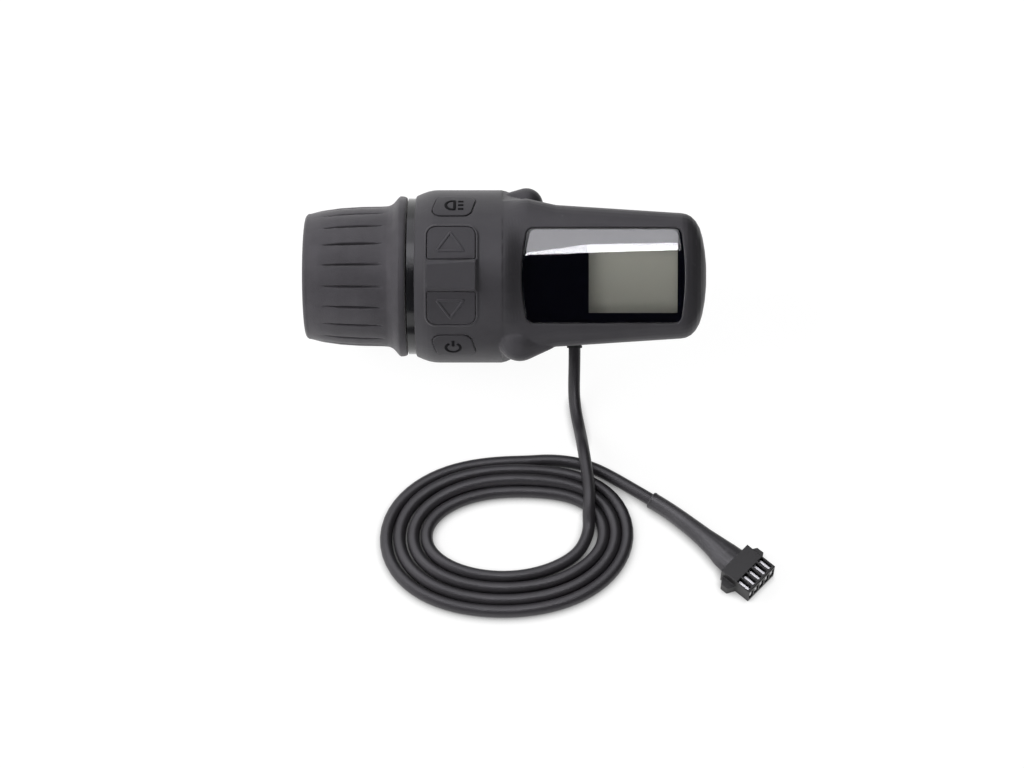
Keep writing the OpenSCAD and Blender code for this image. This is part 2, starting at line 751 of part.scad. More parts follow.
module neck_ring() {
    color("#141316") unit() difference() {
        union() {
            rod(neck_left_x, barrel_left_x, neck_r);
            rod(barrel_left_x - cut, barrel_left_x + spigot_len, barrel_in_r - seat_gap);
            // Stops for the lug at both ends of the turn
            for (side = [-1, 1]) {
                mid = lug_angle - grip_turn / 2
                    + side * (grip_turn / 2 + lug_half_angle + stop_angle / 2 + stop_spare_angle);
                ring_part(barrel_left_x + spigot_len - cut, magnet_x, barrel_in_r - seat_gap,
                    collar_r + stop_gap, mid, stop_angle / 2);
            }
        }
        rod(neck_left_x - cut, magnet_x + cut, tube_r + running_gap + bush_wall);
        for (a = neck_screw_angles) round_bar(a) translate([neck_left_x - cut, 0, neck_screw_place_r])
            rotate([0, 90, 0]) {
                cylinder(h = neck_w + spigot_len + 2 * cut, r = neck_screw_r + seat_gap);
                cylinder(h = neck_screw_head_t + cut, r = neck_screw_head_r + seat_gap);
            }
    }
}

module neck_screws() {
    color("#5b5b60") unit() for (a = neck_screw_angles)
        round_bar(a) translate([neck_left_x, 0, neck_screw_place_r]) rotate([0, 90, 0]) {
            cylinder(h = neck_screw_len, r = neck_screw_r);
            cylinder(h = neck_screw_head_t, r = neck_screw_head_r);
        }
}

module bearing_bush() {
    color("#c9c3b4") unit() {
        ring(neck_left_x, bush_right_x, tube_r + running_gap + bush_wall - seat_gap, tube_r + running_gap);
        ring(barrel_left_x + spigot_len, bush_right_x, bush_flange_r, tube_r + running_gap);
    }
}

module bar_sleeve() {
    color("#2c2b2e") unit() difference() {
        union() {
            rod(grip_left_x + tube_lip + sleeve_end_gap, barrel_right_x, sleeve_r);
            rod(end_wall_x - sleeve_flange_t, end_wall_x, sleeve_flange_r);
        }
        rod(grip_left_x, barrel_right_x + cut, bore_r);
    }
}

module throttle_tube() {
    color("#242326") unit() difference() {
        union() {
            rod(grip_left_x, tube_right_x, tube_r);
            rod(grip_left_x, grip_left_x + tube_lip, tube_end_r);
            rod(collar_x, collar_x + collar_t, collar_r);
            ring_part(collar_x, collar_x + collar_t, lug_r, collar_r - cut, lug_angle, lug_half_angle);
        }
        rod(grip_left_x + tube_lip, tube_right_x + cut, tube_in_r);
        rod(grip_left_x - cut, grip_left_x + tube_lip + cut, bore_r + seat_gap);
    }
}

// Outline of the rubber grip: place from its outer end and radius, over its body, its cone and its rim
grip_outline = concat([[0, tube_r + seat_gap]],
    arc(grip_end_round, grip_end_r - grip_end_round, grip_end_round, -90, -grip_end_angle, 4),
    [for (p = grip_body_share) [p[0] * grip_len, grip_end_r + p[1] * (grip_r - grip_end_r)]],
    [for (p = grip_cone_share) [grip_len - rim_w - cone_w + p[0] * cone_w, grip_r + p[1] * (rim_r - grip_r)]],
    [[grip_len - rim_edge_share * rim_w, rim_r], [grip_len, rim_r - rim_edge_share * rim_w],
        [grip_len, tube_r + seat_gap]]);

module grip_sleeve() {
    groove_mid = grip_right_x - groove_mid_share * grip_len;
    color("#3b393c") unit() difference() {
        along_bar(grip_left_x) rotate_extrude() polygon([for (p = grip_outline) [p[1], p[0]]]);
        rod(grip_left_x - cut, grip_left_x + tube_lip + seat_gap, tube_end_r + seat_gap);
        for (i = [0:groove_count - 1]) round_bar(360 * (i + 0.5) / groove_count)
            translate([groove_mid, 0, grip_r - groove_depth]) linear_extrude(2 * groove_depth)
                polygon([for (k = [0:11]) let (a = 30 * k)
                    [groove_len / 2 * cos(a), groove_w / 2 * sin(a)]]);
    }
}

module sensor_magnet() {
    color("#8f9094") unit() round_bar(lug_angle) translate([magnet_x, 0, magnet_place_r])
        rotate([0, 90, 0]) cylinder(h = magnet_t, r = magnet_r);
}

module hall_board() {
    color("#1f5a3a") unit()
        ring_part(sensor_x + sensor_t, sensor_x + sensor_t + board_t, barrel_in_r - seat_gap,
            hall_board_in_r, lug_angle - grip_turn / 2, hall_board_half_angle);
}

module hall_sensor() {
    color("#161618") unit() round_bar(lug_angle - grip_turn / 2)
        translate([sensor_x, -sensor_w / 2, magnet_place_r - sensor_w / 2])
            cube([sensor_t, sensor_w, sensor_w]);
}

// Points and faces of a tube about a path: rings square to it, each ring with the given sides
function unit_of(v) = v / norm(v);
function tangent(path, i) = let (n = len(path) - 1)
    i == 0 ? unit_of(path[1] - path[0]) : i == n ? unit_of(path[n] - path[n - 1]) :
    unit_of(unit_of(path[i + 1] - path[i]) + unit_of(path[i] - path[i - 1]));
function side_of(t) = let (s = cross(t, [0, 0, 1])) norm(s) < 0.05 ? [1, 0, 0] : unit_of(s);
function tube_points(path, half_w, half_h, sides) =
    [for (i = [0:len(path) - 1]) let (t = tangent(path, i), s = side_of(t), u = cross(s, t))
        for (k = [0:sides - 1]) let (a = 360 * k / sides - 90)
            path[i] + half_w[i] * cos(a) * s + half_h[i] * sin(a) * u];
function tube_faces(rings, sides) = concat(
    [for (k = [1:sides - 2]) [0, k + 1, k]],
    [for (i = [0:rings - 2]) for (k = [0:sides - 1]) let (a = i * sides + k, b = i * sides + (k + 1) % sides)
        each [[a, b, a + sides], [b, b + sides, a + sides]]],
    [for (k = [1:sides - 2]) let (o = (rings - 1) * sides) [o, o + k, o + k + 1]]);

module tube(path, half_w, half_h, sides) {
    polyhedron(tube_points(path, half_w, half_h, sides), tube_faces(len(path), sides));
}

module round_tube(path, r, sides) {
    all_r = [for (p = path) r];
    tube(path, all_r, all_r, sides);
}

// Wire points of the spring, then its leg towards the barrel wall
spring_path = concat([for (i = [0:spring_turns * spring_rings]) let (a = 360 * i / spring_rings)
    [spring_x + spring_pitch * i / spring_rings, spring_mean_r * sin(a), -spring_mean_r * cos(a)]],
    [[spring_x + spring_pitch * (spring_turns + spring_leg_share[0]), spring_leg_share[1] * spring_leg_r,
        -spring_leg_share[2] * spring_leg_r]]);

module spring_tube() {
    rings = len(spring_path);
    points = [for (i = [0:rings - 1]) let (t = tangent(spring_path, i), s = [1, 0, 0], u = unit_of(cross(s, t)),
        w = cross(t, u)) for (k = [0:spring_sides - 1]) let (a = 360 * k / spring_sides)
            spring_path[i] + spring_wire / 2 * (cos(a) * w + sin(a) * u)];
    polyhedron(points, tube_faces(rings, spring_sides));
}

module return_spring() {
    color("#a9abb0") unit() spring_tube();
}

module switch_carrier() {
    color("#2a2a2c") unit()
        ring_part(barrel_left_x + spigot_len + bush_flange_t + seat_gap, end_wall_x - seat_gap, carrier_r,
            carrier_r - carrier_t, 0, carrier_half_angle);
}

module switch_board() {
    color("#22603e") unit()
        ring_part(key_mid_x - arrow_key_len / 2, key_mid_x + arrow_key_len / 2, switch_board_r,
            switch_board_in_r, 0, carrier_half_angle);
}

function key_angle(i) = [small_key_angle, arrow_key_angle, -arrow_key_angle, -small_key_angle][i];
function key_x(i) = key_mid_x + [small_key_shift, 0, 0, small_key_shift][i];

module switch_bodies() {
    color("#1d1d1f") unit() for (i = [0:3])
        round_bar(key_angle(i)) translate([key_x(i), 0, switch_base_r]) difference() {
            linear_extrude(switch_h) square(switch_w, center = true);
            translate([0, 0, switch_h + plunger_show - plunger_len - key_travel - seat_gap])
                cylinder(h = switch_h + cut, r = plunger_r + running_gap);
        }
}

module plunger(i) {
    color("#b9b4a6") unit() round_bar(key_angle(i))
        translate([key_x(i), 0, plunger_top_r - plunger_len]) cylinder(h = plunger_len, r = plunger_r);
}

module lamp_plunger() { plunger(0); }
module up_plunger() { plunger(1); }
module down_plunger() { plunger(2); }
module power_plunger() { plunger(3); }

// A key: cap in its window and flange behind the wall, both cut from prisms, and stem on the switch
module key_stack(i) {
    intersection() {
        children(0);
        ring(barrel_left_x, barrel_right_x, barrel_r + key_proud, key_flange_r - key_flange_t);
    }
    intersection() {
        children(1);
        ring(barrel_left_x, barrel_right_x, key_flange_r, key_flange_r - key_flange_t);
    }
    round_bar(key_angle(i)) translate([key_x(i), 0, plunger_top_r])
        cylinder(h = key_flange_r - plunger_top_r - key_flange_t / 2, r = stem_r);
}

module arrow_key(i, side) {
    color("#4d4a4e") unit() key_stack(i) {
        arrow_prism(side, -seat_gap);
        arrow_prism(side, key_flange_lip);
    }
}

module small_key(i, side) {
    color("#4d4a4e") unit() key_stack(i) {
        small_prism(side, -seat_gap);
        small_prism(side, key_flange_lip);
    }
}

module lamp_key() { small_key(0, 1); }
module up_key() { arrow_key(1, 1); }
module down_key() { arrow_key(2, -1); }
module power_key() { small_key(3, -1); }

module display_lens() {
    color("#101014") unit() difference() {
        intersection() {
            lens_prism(0);
            under_crown(0);
        }
        under_crown(lens_t);
    }
}

module lens_gasket() {
    color("#0c0c0e") unit() difference() {
        intersection() {
            lens_prism(0);
            under_crown(lens_t);
        }
        under_crown(lens_t + gasket_t);
        lens_prism(-ledge_w);
    }
}

module lcd_panel() {
    color("#82857a") unit() translate([lcd_mid_x, 0, backlight_top]) linear_extrude(glass_t)
        square([lcd_len, lcd_w], center = true);
}

module backlight() {
    color("#e4e6e2") unit() translate([lcd_mid_x, 0, board_top]) linear_extrude(backlight_t)
        square([lcd_len - frame_wall, lcd_w - frame_wall], center = true);
}

module lcd_frame() {
    color("#1a1a1c") unit() translate([lcd_mid_x, 0, board_top]) linear_extrude(frame_top - board_top)
        difference() {
            square([lcd_len + 2 * frame_wall, lcd_w + 2 * frame_wall], center = true);
            square([lcd_len + 2 * frame_gap, lcd_w + 2 * frame_gap], center = true);
        }
}

module main_board() {
    right = board_left_x + board_len;
    color("#1f5a3a") unit() translate([0, 0, board_bottom]) linear_extrude(main_board_t) difference() {
        polygon([[board_left_x, -board_near_w], [right, -board_far_w], [right, board_far_w],
            [board_left_x, board_near_w]]);
        for (p = posts) translate(p) circle(board_screw_r + seat_gap, $fn = soft_fn);
    }
}

module board_chips() {
    // Place along and across the board, length and width
    chips_share = [[0.2, 0.55, 0.53, 0.38], [0.42, -0.6, 0.45, 0.38], [0.6, 0.6, 0.6, 0.3],
        [0.8, -0.55, 0.3, 0.3]];
    color("#151517") unit() for (c = chips_share)
        translate([board_left_x + c[0] * board_len, c[1] * board_far_w, board_bottom - chip_t])
            linear_extrude(chip_t) square([c[2], c[3]] * board_far_w, center = true);
}

module board_screws() {
    color("#8d8f94") unit() for (p = posts) translate([p[0], p[1], board_bottom - board_screw_head_t]) {
        cylinder(h = board_screw_head_t, r = board_screw_head_r);
        cylinder(h = board_screw_head_t + board_screw_len, r = board_screw_r);
    }
}

module cover_screws() {
    color("#55555a") unit() for (p = cover_posts) translate([p[0], p[1], -cover_depth]) {
        cylinder(h = cover_screw_head_t, r = cover_screw_head_r);
        cylinder(h = cover_screw_len, r = cover_screw_r);
    }
}

module clamp_screws() {
    color("#55555a") unit() for (side = [-1, 1])
        translate([0, side * clamp_screw_v, -clamp_ear_h + clamp_gap / 2]) {
            cylinder(h = clamp_head_t - clamp_gap / 2, r = clamp_head_r);
            cylinder(h = clamp_screw_len, r = clamp_screw_r);
        }
}

module clamp_inserts() {
    color("#b08d45") unit() for (side = [-1, 1]) translate([0, side * clamp_screw_v, 0]) difference() {
        cylinder(h = insert_len, r = insert_r);
        translate([0, 0, -cut]) cylinder(h = insert_len + 2 * cut, r = clamp_screw_r + seat_gap);
    }
}

module cable_gland() {
    color("#1b1b1d") unit() translate([outlet_x, -outlet_side - gland_lip_t, outlet_level]) rotate([-90, 0, 0])
        difference() {
            union() {
                cylinder(h = gland_lip_t, r = gland_lip_r);
                cylinder(h = gland_in, r = gland_r);
            }
            translate([0, 0, gland_lip_t]) cylinder(h = gland_in, r = cable_r);
        }
}

module cable_lead() {
    color("#2f2e32") round_tube(lead_route, cable_r, cable_sides);
}

module cable_coil() {
    color("#2f2e32") round_tube(coil_path, cable_r, coil_sides);
}

module cable_tail() {
    color("#2f2e32") round_tube(tail_route, cable_r, cable_sides);
}

module shrink_sleeve() {
    color("#29282b") tube(sleeve_route, sleeve_half_w_share * sleeve_d / 2, sleeve_half_h_share * sleeve_d / 2,
        sleeve_sides);
}

// Places a child at the back of the connector, its X towards the mouth
module plug_frame() {
    translate([plug_back[0], plug_back[1], table_z]) rotate([0, 0, plug_dir]) children();
}

module connector_housing() {
    color("#232225") plug_frame() difference() {
        union() {
            translate([0, -plug_w / 2, 0]) cube([plug_len, plug_w, plug_h]);
            for (side = [-1, 1]) translate([ear_start, side * plug_w / 2, 0])
                linear_extrude(ear_h) polygon([[0, 0], [ear_top_shares[0] * ear_len, side * ear_w],
                    [ear_top_shares[1] * ear_len, side * ear_w], [ear_len, 0]]);
        }
        for (i = [0:pin_count - 1]) translate([0, (i - (pin_count - 1) / 2) * pin_pitch, 0]) {
            translate([plug_len - mouth_depth, -slot_w / 2, (plug_h - mouth_h) / 2])
                cube([mouth_depth + cut, slot_w, mouth_h]);
            translate([plug_len - slot_len, -slot_w / 2, plug_h / 2])
                cube([slot_len - plug_wall, slot_w, plug_h]);
        }
    }
}

module connector_pins() {
    color("#c9c9cc") plug_frame() for (i = [0:pin_count - 1])
        translate([plug_len - mouth_depth + seat_gap, (i - (pin_count - 1) / 2) * pin_pitch - pin_w / 2,
            plug_h / 2 - pin_h / 2])
            cube([mouth_depth - plug_wall / 2, pin_w, pin_h]);
}

front_housing();
rear_clamp();
display_cover();
neck_ring();
neck_screws();
bearing_bush();
bar_sleeve();
return_spring();
hall_board();
hall_sensor();
switch_carrier();
switch_board();
switch_bodies();
display_lens();
lens_gasket();
lcd_panel();
lcd_frame();
backlight();
main_board();
board_chips();
board_screws();
cover_screws();
clamp_screws();
clamp_inserts();
cable_gland();
cable_lead();
cable_coil();
cable_tail();
shrink_sleeve();
connector_housing();
connector_pins();
throttle_tube();
grip_sleeve();
sensor_magnet();
lamp_key();
up_key();
down_key();
power_key();
lamp_plunger();
up_plunger();
down_plunger();
power_plunger();
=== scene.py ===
"""Looks of a handlebar display with a twist throttle: finishes, cable, grip, signs, camera and light.

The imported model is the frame. Every place is given in metres in its axes, or in millimetres in the unit's own
axes: x along the bar, v across the face, n out of the face.
"""

import logging
import math
from collections.abc import Sequence
from dataclasses import dataclass
from enum import Enum

import bmesh
import bpy
import numpy as np
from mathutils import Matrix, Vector


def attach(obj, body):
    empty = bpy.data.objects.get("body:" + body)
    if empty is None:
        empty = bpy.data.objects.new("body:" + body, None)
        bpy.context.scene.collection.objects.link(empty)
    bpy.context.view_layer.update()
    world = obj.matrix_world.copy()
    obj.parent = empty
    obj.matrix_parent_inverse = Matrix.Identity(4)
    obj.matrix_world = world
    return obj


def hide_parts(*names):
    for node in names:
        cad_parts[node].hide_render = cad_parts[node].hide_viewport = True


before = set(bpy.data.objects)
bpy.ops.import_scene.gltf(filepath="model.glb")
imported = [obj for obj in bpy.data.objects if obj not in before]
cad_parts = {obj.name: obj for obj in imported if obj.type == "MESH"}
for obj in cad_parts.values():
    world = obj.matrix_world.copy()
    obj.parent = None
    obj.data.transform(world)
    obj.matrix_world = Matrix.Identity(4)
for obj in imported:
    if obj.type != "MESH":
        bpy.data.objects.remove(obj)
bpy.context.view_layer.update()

LOG = logging.getLogger("display")
MM = 0.001
TINY = 1e-6
FACE_TILT = math.radians(34.1)
TABLE_Z = -28.0

Pair = tuple[float, float]
Point = tuple[float, float, float]
Colour = tuple[float, float, float]
Face = tuple[int, ...]
Node = bpy.types.Node
Socket = bpy.types.NodeSocket
Piece = bpy.types.Object


class Body(Enum):
    """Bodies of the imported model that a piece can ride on."""

    HOUSING = "housing"
    THROTTLE = "throttle"
    LAMP = "lamp_button"
    UP = "up_button"
    DOWN = "down_button"
    POWER = "power_button"


def from_unit(x: float, v: float, n: float) -> Vector:
    """Turns a place in the unit's own axes into the frame's.

    Args:
        x: place along the bar in millimetres.
        v: place across the face in millimetres.
        n: height out of the face in millimetres.

    Returns:
        The place in metres.
    """
    c, s = math.cos(FACE_TILT), math.sin(FACE_TILT)
    return Vector((x, v * c - n * s, v * s + n * c)) * MM


def round_bar(x: float, r: float, angle: float) -> Vector:
    """Gives a place on a cylinder about the bar.

    Args:
        x: place along the bar in millimetres.
        r: distance from the bar axis in millimetres.
        angle: radians from the middle of the face towards its upper edge.

    Returns:
        The place in metres.
    """
    return from_unit(x, r * math.sin(angle), r * math.cos(angle))


def spline_place(points: list[Vector], k: int, t: float) -> Vector:
    """Gives a place on the smooth curve through points.

    Args:
        points: the points.
        k: number of the point before the place.
        t: share of the way from there to the next point.

    Returns:
        The place.
    """
    p = [points[max(k - 1, 0)], points[k], points[k + 1], points[min(k + 2, len(points) - 1)]]
    return 0.5 * (
        2 * p[1] + (p[2] - p[0]) * t + (2 * p[0] - 5 * p[1] + 4 * p[2] - p[3]) * t**2
        + (3 * p[1] - p[0] - 3 * p[2] + p[3]) * t**3
    )


def new_object(name: str, data: bpy.types.ID) -> Piece:
    """Makes an object and links it to the scene.

    Args:
        name: its name.
        data: its mesh, curve, camera or light.

    Returns:
        The object.
    """
    piece = bpy.data.objects.new(name, data)
    bpy.context.scene.collection.objects.link(piece)
    return piece


def new_mesh(name: str, points: Sequence[Vector], faces: Sequence[Face], smooth: bool = True) -> Piece:
    """Makes a mesh object from points and faces.

    Args:
        name: name of the object.
        points: places in metres.
        faces: indices of each face's points.
        smooth: whether the faces are shaded smooth.

    Returns:
        The object, linked to the scene.
    """
    mesh = bpy.data.meshes.new(name)
    mesh.from_pydata([tuple(p) for p in points], [], faces)
    mesh.validate()
    fixer = bmesh.new()
    fixer.from_mesh(mesh)
    bmesh.ops.recalc_face_normals(fixer, faces=fixer.faces)
    fixer.to_mesh(mesh)
    fixer.free()
    mesh.polygons.foreach_set("use_smooth", [smooth] * len(mesh.polygons))
    return new_object(name, mesh)


def tube_faces(rings: int, sides: int, base: int = 0, capped: bool = True) -> list[Face]:
    """Lists the faces between closed rings of points.

    Args:
        rings: number of rings.
        sides: number of points in a ring.
        base: index of the first point.
        capped: whether both ends get a cap, or else the last ring joins the first.

    Returns:
        The faces.
    """
    faces = []
    for i in range(rings - 1 if capped else rings):
        here, there = i * sides, (i + 1) % rings * sides
        for k in range(sides):
            after = (k + 1) % sides
            faces.append((here + k, here + after, there + after, there + k))
    if capped:
        faces += [tuple(range(sides)), tuple(reversed(range((rings - 1) * sides, rings * sides)))]
    return [tuple(base + k for k in face) for face in faces]


def shade(colour: Colour, factor: float = 1.0) -> tuple[float, float, float, float]:
    """Gives a colour made lighter or darker, with full opacity.

    Args:
        colour: red, green and blue.
        factor: what they are multiplied by.

    Returns:
        Red, green, blue and opacity.
    """
    return (*(min(1.0, c * factor) for c in colour), 1.0)


class NodeTree:
    """Short calls for adding shader nodes to a tree."""

    def __init__(self, tree: bpy.types.NodeTree) -> None:
        """Keeps the tree."""
        self.tree = tree

    def feed(self, node: Node, inputs: dict[str | int, object]) -> None:
        """Gives a node its inputs: a socket is joined, and a plain value is set.

        Args:
            node: the node.
            inputs: socket or value for each input, by its name or number.
        """
        for key, value in inputs.items():
            if isinstance(value, Socket):
                self.tree.links.new(value, node.inputs[key])
            else:
                node.inputs[key].default_value = value

    def add(self, kind: str, inputs: dict[str | int, object] | None = None, **settings: object) -> Node:
        """Adds a node.

        Args:
            kind: the node's type.
            inputs: socket or value for each input, by its name or number.
            settings: properties to set on it.

        Returns:
            The node.
        """
        node = self.tree.nodes.new(kind)
        for key, value in settings.items():
            setattr(node, key, value)
        self.feed(node, inputs or {})
        return node

    def math(self, operation: str, a: object, b: object) -> Socket:
        """Adds a Math node.

        Args:
            operation: what it does.
            a: first value or socket.
            b: second value or socket.

        Returns:
            Its output.
        """
        return self.add("ShaderNodeMath", {0: a, 1: b}, operation=operation).outputs[0]

    def noise(self, scale: object, detail: float, coordinates: Socket) -> Socket:
        """Adds a noise texture.

        Args:
            scale: cells per metre, as a value or socket.
            detail: octaves.
            coordinates: where it is read.

        Returns:
            Its value, from 0 to 1.
        """
        inputs = {"Scale": scale, "Detail": detail, "Vector": coordinates}
        return self.add("ShaderNodeTexNoise", inputs).outputs["Fac"]

    def ramp(self, value: Socket, ends: Pair, result: Pair = (0.0, 1.0)) -> Socket:
        """Maps a range of a value onto another and clamps it.

        Args:
            value: the value.
            ends: start and end of its range.
            result: what the start and the end turn into.

        Returns:
            The result.
        """
        names = ("Value", "From Min", "From Max", "To Min", "To Max")
        return self.add("ShaderNodeMapRange", dict(zip(names, (value, *ends, *result)))).outputs["Result"]

    def mix(self, factor: Socket, a: object, b: object) -> Socket:
        """Mixes two colours.

        Args:
            factor: share of the second.
            a: first colour or socket.
            b: second colour or socket.

        Returns:
            The colour.
        """
        return self.add("ShaderNodeMix", {0: factor, 6: a, 7: b}, data_type="RGBA").outputs[2]

    def seen(self) -> Socket:
        """Gives 1 for what the camera sees, also through a gloss or a clear piece, and 0 for light."""
        ray = self.add("ShaderNodeLightPath").outputs
        passed_on = self.math("MAXIMUM", ray["Is Glossy Ray"], ray["Is Transmission Ray"])
        return self.math("MAXIMUM", ray["Is Camera Ray"], passed_on)

    def surface(self, output: Node, factor: Socket, first: Node, second: Node) -> None:
        """Makes a mix of two shaders the surface.

        Args:
            output: the material's output node.
            factor: share of the second shader.
            first: first shader.
            second: second shader.
        """
        joint = self.add("ShaderNodeMixShader", {0: factor, 1: first.outputs[0], 2: second.outputs[0]})
        self.feed(output, {"Surface": joint.outputs["Shader"]})


def new_material(name: str) -> tuple[bpy.types.Material, NodeTree, Node, Node]:
    """Makes a material with nodes.

    Args:
        name: its name.

    Returns:
        The material, the calls for its tree, its Principled shader and its output node.
    """
    material = bpy.data.materials.new(name)
    material.use_nodes = True
    nodes = material.node_tree.nodes
    return material, NodeTree(material.node_tree), nodes["Principled BSDF"], nodes["Material Output"]


def effect_group(name: str, numbers: dict[str, float], outputs: list[str]) -> tuple[NodeTree, Node, Node]:
    """Starts a shader node group that reads coordinates and numbers and puts out values.

    Args:
        name: name of the group.
        numbers: name and default of each number that it takes besides the coordinates.
        outputs: name of each value that it puts out.

    Returns:
        The calls for its tree, its input node and its output node.
    """
    group = bpy.data.node_groups.new(name, "ShaderNodeTree")
    group.interface.new_socket(name="Coordinates", in_out="INPUT", socket_type="NodeSocketVector")
    for label, default in numbers.items():
        socket = group.interface.new_socket(name=label, in_out="INPUT", socket_type="NodeSocketFloat")
        socket.default_value = default
    for label in outputs:
        group.interface.new_socket(name=label, in_out="OUTPUT", socket_type="NodeSocketFloat")
    calls = NodeTree(group)
    return calls, calls.add("NodeGroupInput"), calls.add("NodeGroupOutput")


@dataclass
class Effects:
    """Shader effects that several finishes share, each built once as a node group."""

    fine_scale: float = 1.7
    fine_detail: float = 2.0
    speckle_ends: Pair = (0.35, 0.65)
    broad_noise: Pair = (70.0, 3.0)
    smear_noise: Pair = (260.0, 4.0)
    broad_share: float = 0.7
    marks_ends: Pair = (0.36, 0.64)
    edge_ends: Pair = (0.52, 0.62)
    # ends and share of the patches that break up the painted edge highlight
    highlight_patch_ends: Pair = (0.3, 0.7)
    highlight_patch_share: Pair = (0.55, 1.0)

    def __post_init__(self) -> None:
        """Builds the groups."""
        self.grain = self._grain()
        self.marks_and_highlight = self._marks_and_highlight()

    def _grain(self) -> bpy.types.NodeTree:
        """Builds the fine grain of a spark-eroded mould: small cells over a finer noise."""
        sizes = {"Size": 0.0003, "Cells": 0.5}
        calls, source, result = effect_group("moulded_grain", sizes, ["Height", "Speckle"])
        place = source.outputs["Coordinates"]
        scale = calls.math("DIVIDE", 1.0, source.outputs["Size"])
        cells = calls.add("ShaderNodeTexVoronoi", {"Vector": place, "Scale": scale}, feature="SMOOTH_F1")
        fine = calls.noise(calls.math("MULTIPLY", scale, self.fine_scale), self.fine_detail, place)
        cell_part = calls.math("MULTIPLY", cells.outputs["Distance"], source.outputs["Cells"])
        height = calls.math("ADD", fine, cell_part)
        calls.feed(result, {"Height": height, "Speckle": calls.ramp(fine, self.speckle_ends)})
        return calls.tree

    def _marks_and_highlight(self) -> bpy.types.NodeTree:
        """Builds broad marks from being handled and moulded, and a painted highlight mask that follows raised
        edges.
        """
        calls, source, result = effect_group("marks_and_edge_highlight", {"Pointiness": 0.5}, ["Marks", "Edges"])
        broad = calls.noise(*self.broad_noise, source.outputs["Coordinates"])
        smear = calls.noise(*self.smear_noise, source.outputs["Coordinates"])
        broad_part = calls.math("MULTIPLY", broad, self.broad_share)
        smear_part = calls.math("MULTIPLY", smear, 1 - self.broad_share)
        marks = calls.ramp(calls.math("ADD", broad_part, smear_part), self.marks_ends)
        edges = calls.ramp(source.outputs["Pointiness"], self.edge_ends)
        # noise patches that break up the painted edge highlight on raised edges
        highlight_patches = calls.ramp(smear, self.highlight_patch_ends, self.highlight_patch_share)
        calls.feed(result, {"Marks": marks, "Edges": calls.math("MULTIPLY", edges, highlight_patches)})
        return calls.tree


@dataclass(frozen=True)
class Finish:
    """Surface of one material: colour, gloss, grain and marks. Grain is in millimetres."""

    name: str
    slot: str
    colour: Colour
    roughness: float
    grain_size: float = 0.35
    grain_depth: float = 0.02
    cells: float = 0.5
    mottle: float = 0.1
    # edge_light: how much paler the painted edge highlight and the grain's speckles are
    edge_light: float = 0.3
    specular: float = 0.5
    metallic: float = 0.0
    sheen: float = 0.0
    sheen_roughness: float = 0.35
    # fade: painted reflection, the colour paler high up and darker low down
    fade: float = 0.0
    least_speckle: float = 0.02
    speckle_share: float = 0.35
    gloss_share: float = 0.5
    least_roughness: float = 0.02

    def material(self, effects: Effects) -> bpy.types.Material:
        """Builds the material.

        Args:
            effects: the shared node groups.

        Returns:
            The material.
        """
        material, calls, shader, _ = new_material(self.name)
        place = calls.add("ShaderNodeTexCoord").outputs["Object"]
        sizes = {"Coordinates": place, "Size": self.grain_size * MM, "Cells": self.cells}
        grain = calls.add("ShaderNodeGroup", sizes, node_tree=effects.grain)
        raised = calls.add("ShaderNodeNewGeometry").outputs["Pointiness"]
        where = {"Coordinates": place, "Pointiness": raised}
        marks_and_highlight = calls.add("ShaderNodeGroup", where, node_tree=effects.marks_and_highlight)
        low = max(self.least_roughness, self.roughness * (1 - self.gloss_share * self.mottle))
        high = min(1.0, self.roughness * (1 + self.gloss_share * self.mottle))
        relief = {"Strength": 1.0, "Distance": self.grain_depth * MM, "Height": grain.outputs["Height"]}
        calls.feed(shader, {
            "Base Color": self._colour(calls, grain, marks_and_highlight),
            "Roughness": calls.ramp(marks_and_highlight.outputs["Marks"], (0.0, 1.0), (high, low)),
            "Normal": calls.add("ShaderNodeBump", relief).outputs["Normal"],
            "Metallic": self.metallic,
            "Specular IOR Level": self.specular,
            "Sheen Weight": self.sheen,
            "Sheen Roughness": self.sheen_roughness,
        })
        return material

    def _colour(self, calls: NodeTree, grain: Node, marks_and_highlight: Node) -> Socket:
        """Gives the base colour: marks darken and lighten it, grain speckles it, and edges are paler as a
        painted highlight.

        A finish with a fade gets only that: its colour weaker low down and stronger high up, a painted
        reflection of the light from above.
        """
        # the fade is painted light: a reflection painted into the colour, paler high up and darker low down
        if self.fade:
            place = calls.add("ShaderNodeTexCoord").outputs["Generated"]
            height = calls.add("ShaderNodeSeparateXYZ", {"Vector": place}).outputs["Z"]
            return calls.mix(height, shade(self.colour, 1 - self.fade), shade(self.colour, 1 + self.fade))
        light = shade(self.colour, 1 + self.mottle)
        # raised edges are painted paler than the colour: a painted edge highlight
        pale = shade(light[:3], 1 + self.edge_light)
        marked = calls.mix(marks_and_highlight.outputs["Marks"], shade(self.colour, 1 - self.mottle), light)
        edged = calls.mix(marks_and_highlight.outputs["Edges"], marked, pale)
        share = self.speckle_share * self.mottle + self.least_speckle
        return calls.mix(calls.math("MULTIPLY", grain.outputs["Speckle"], share), edged, pale)


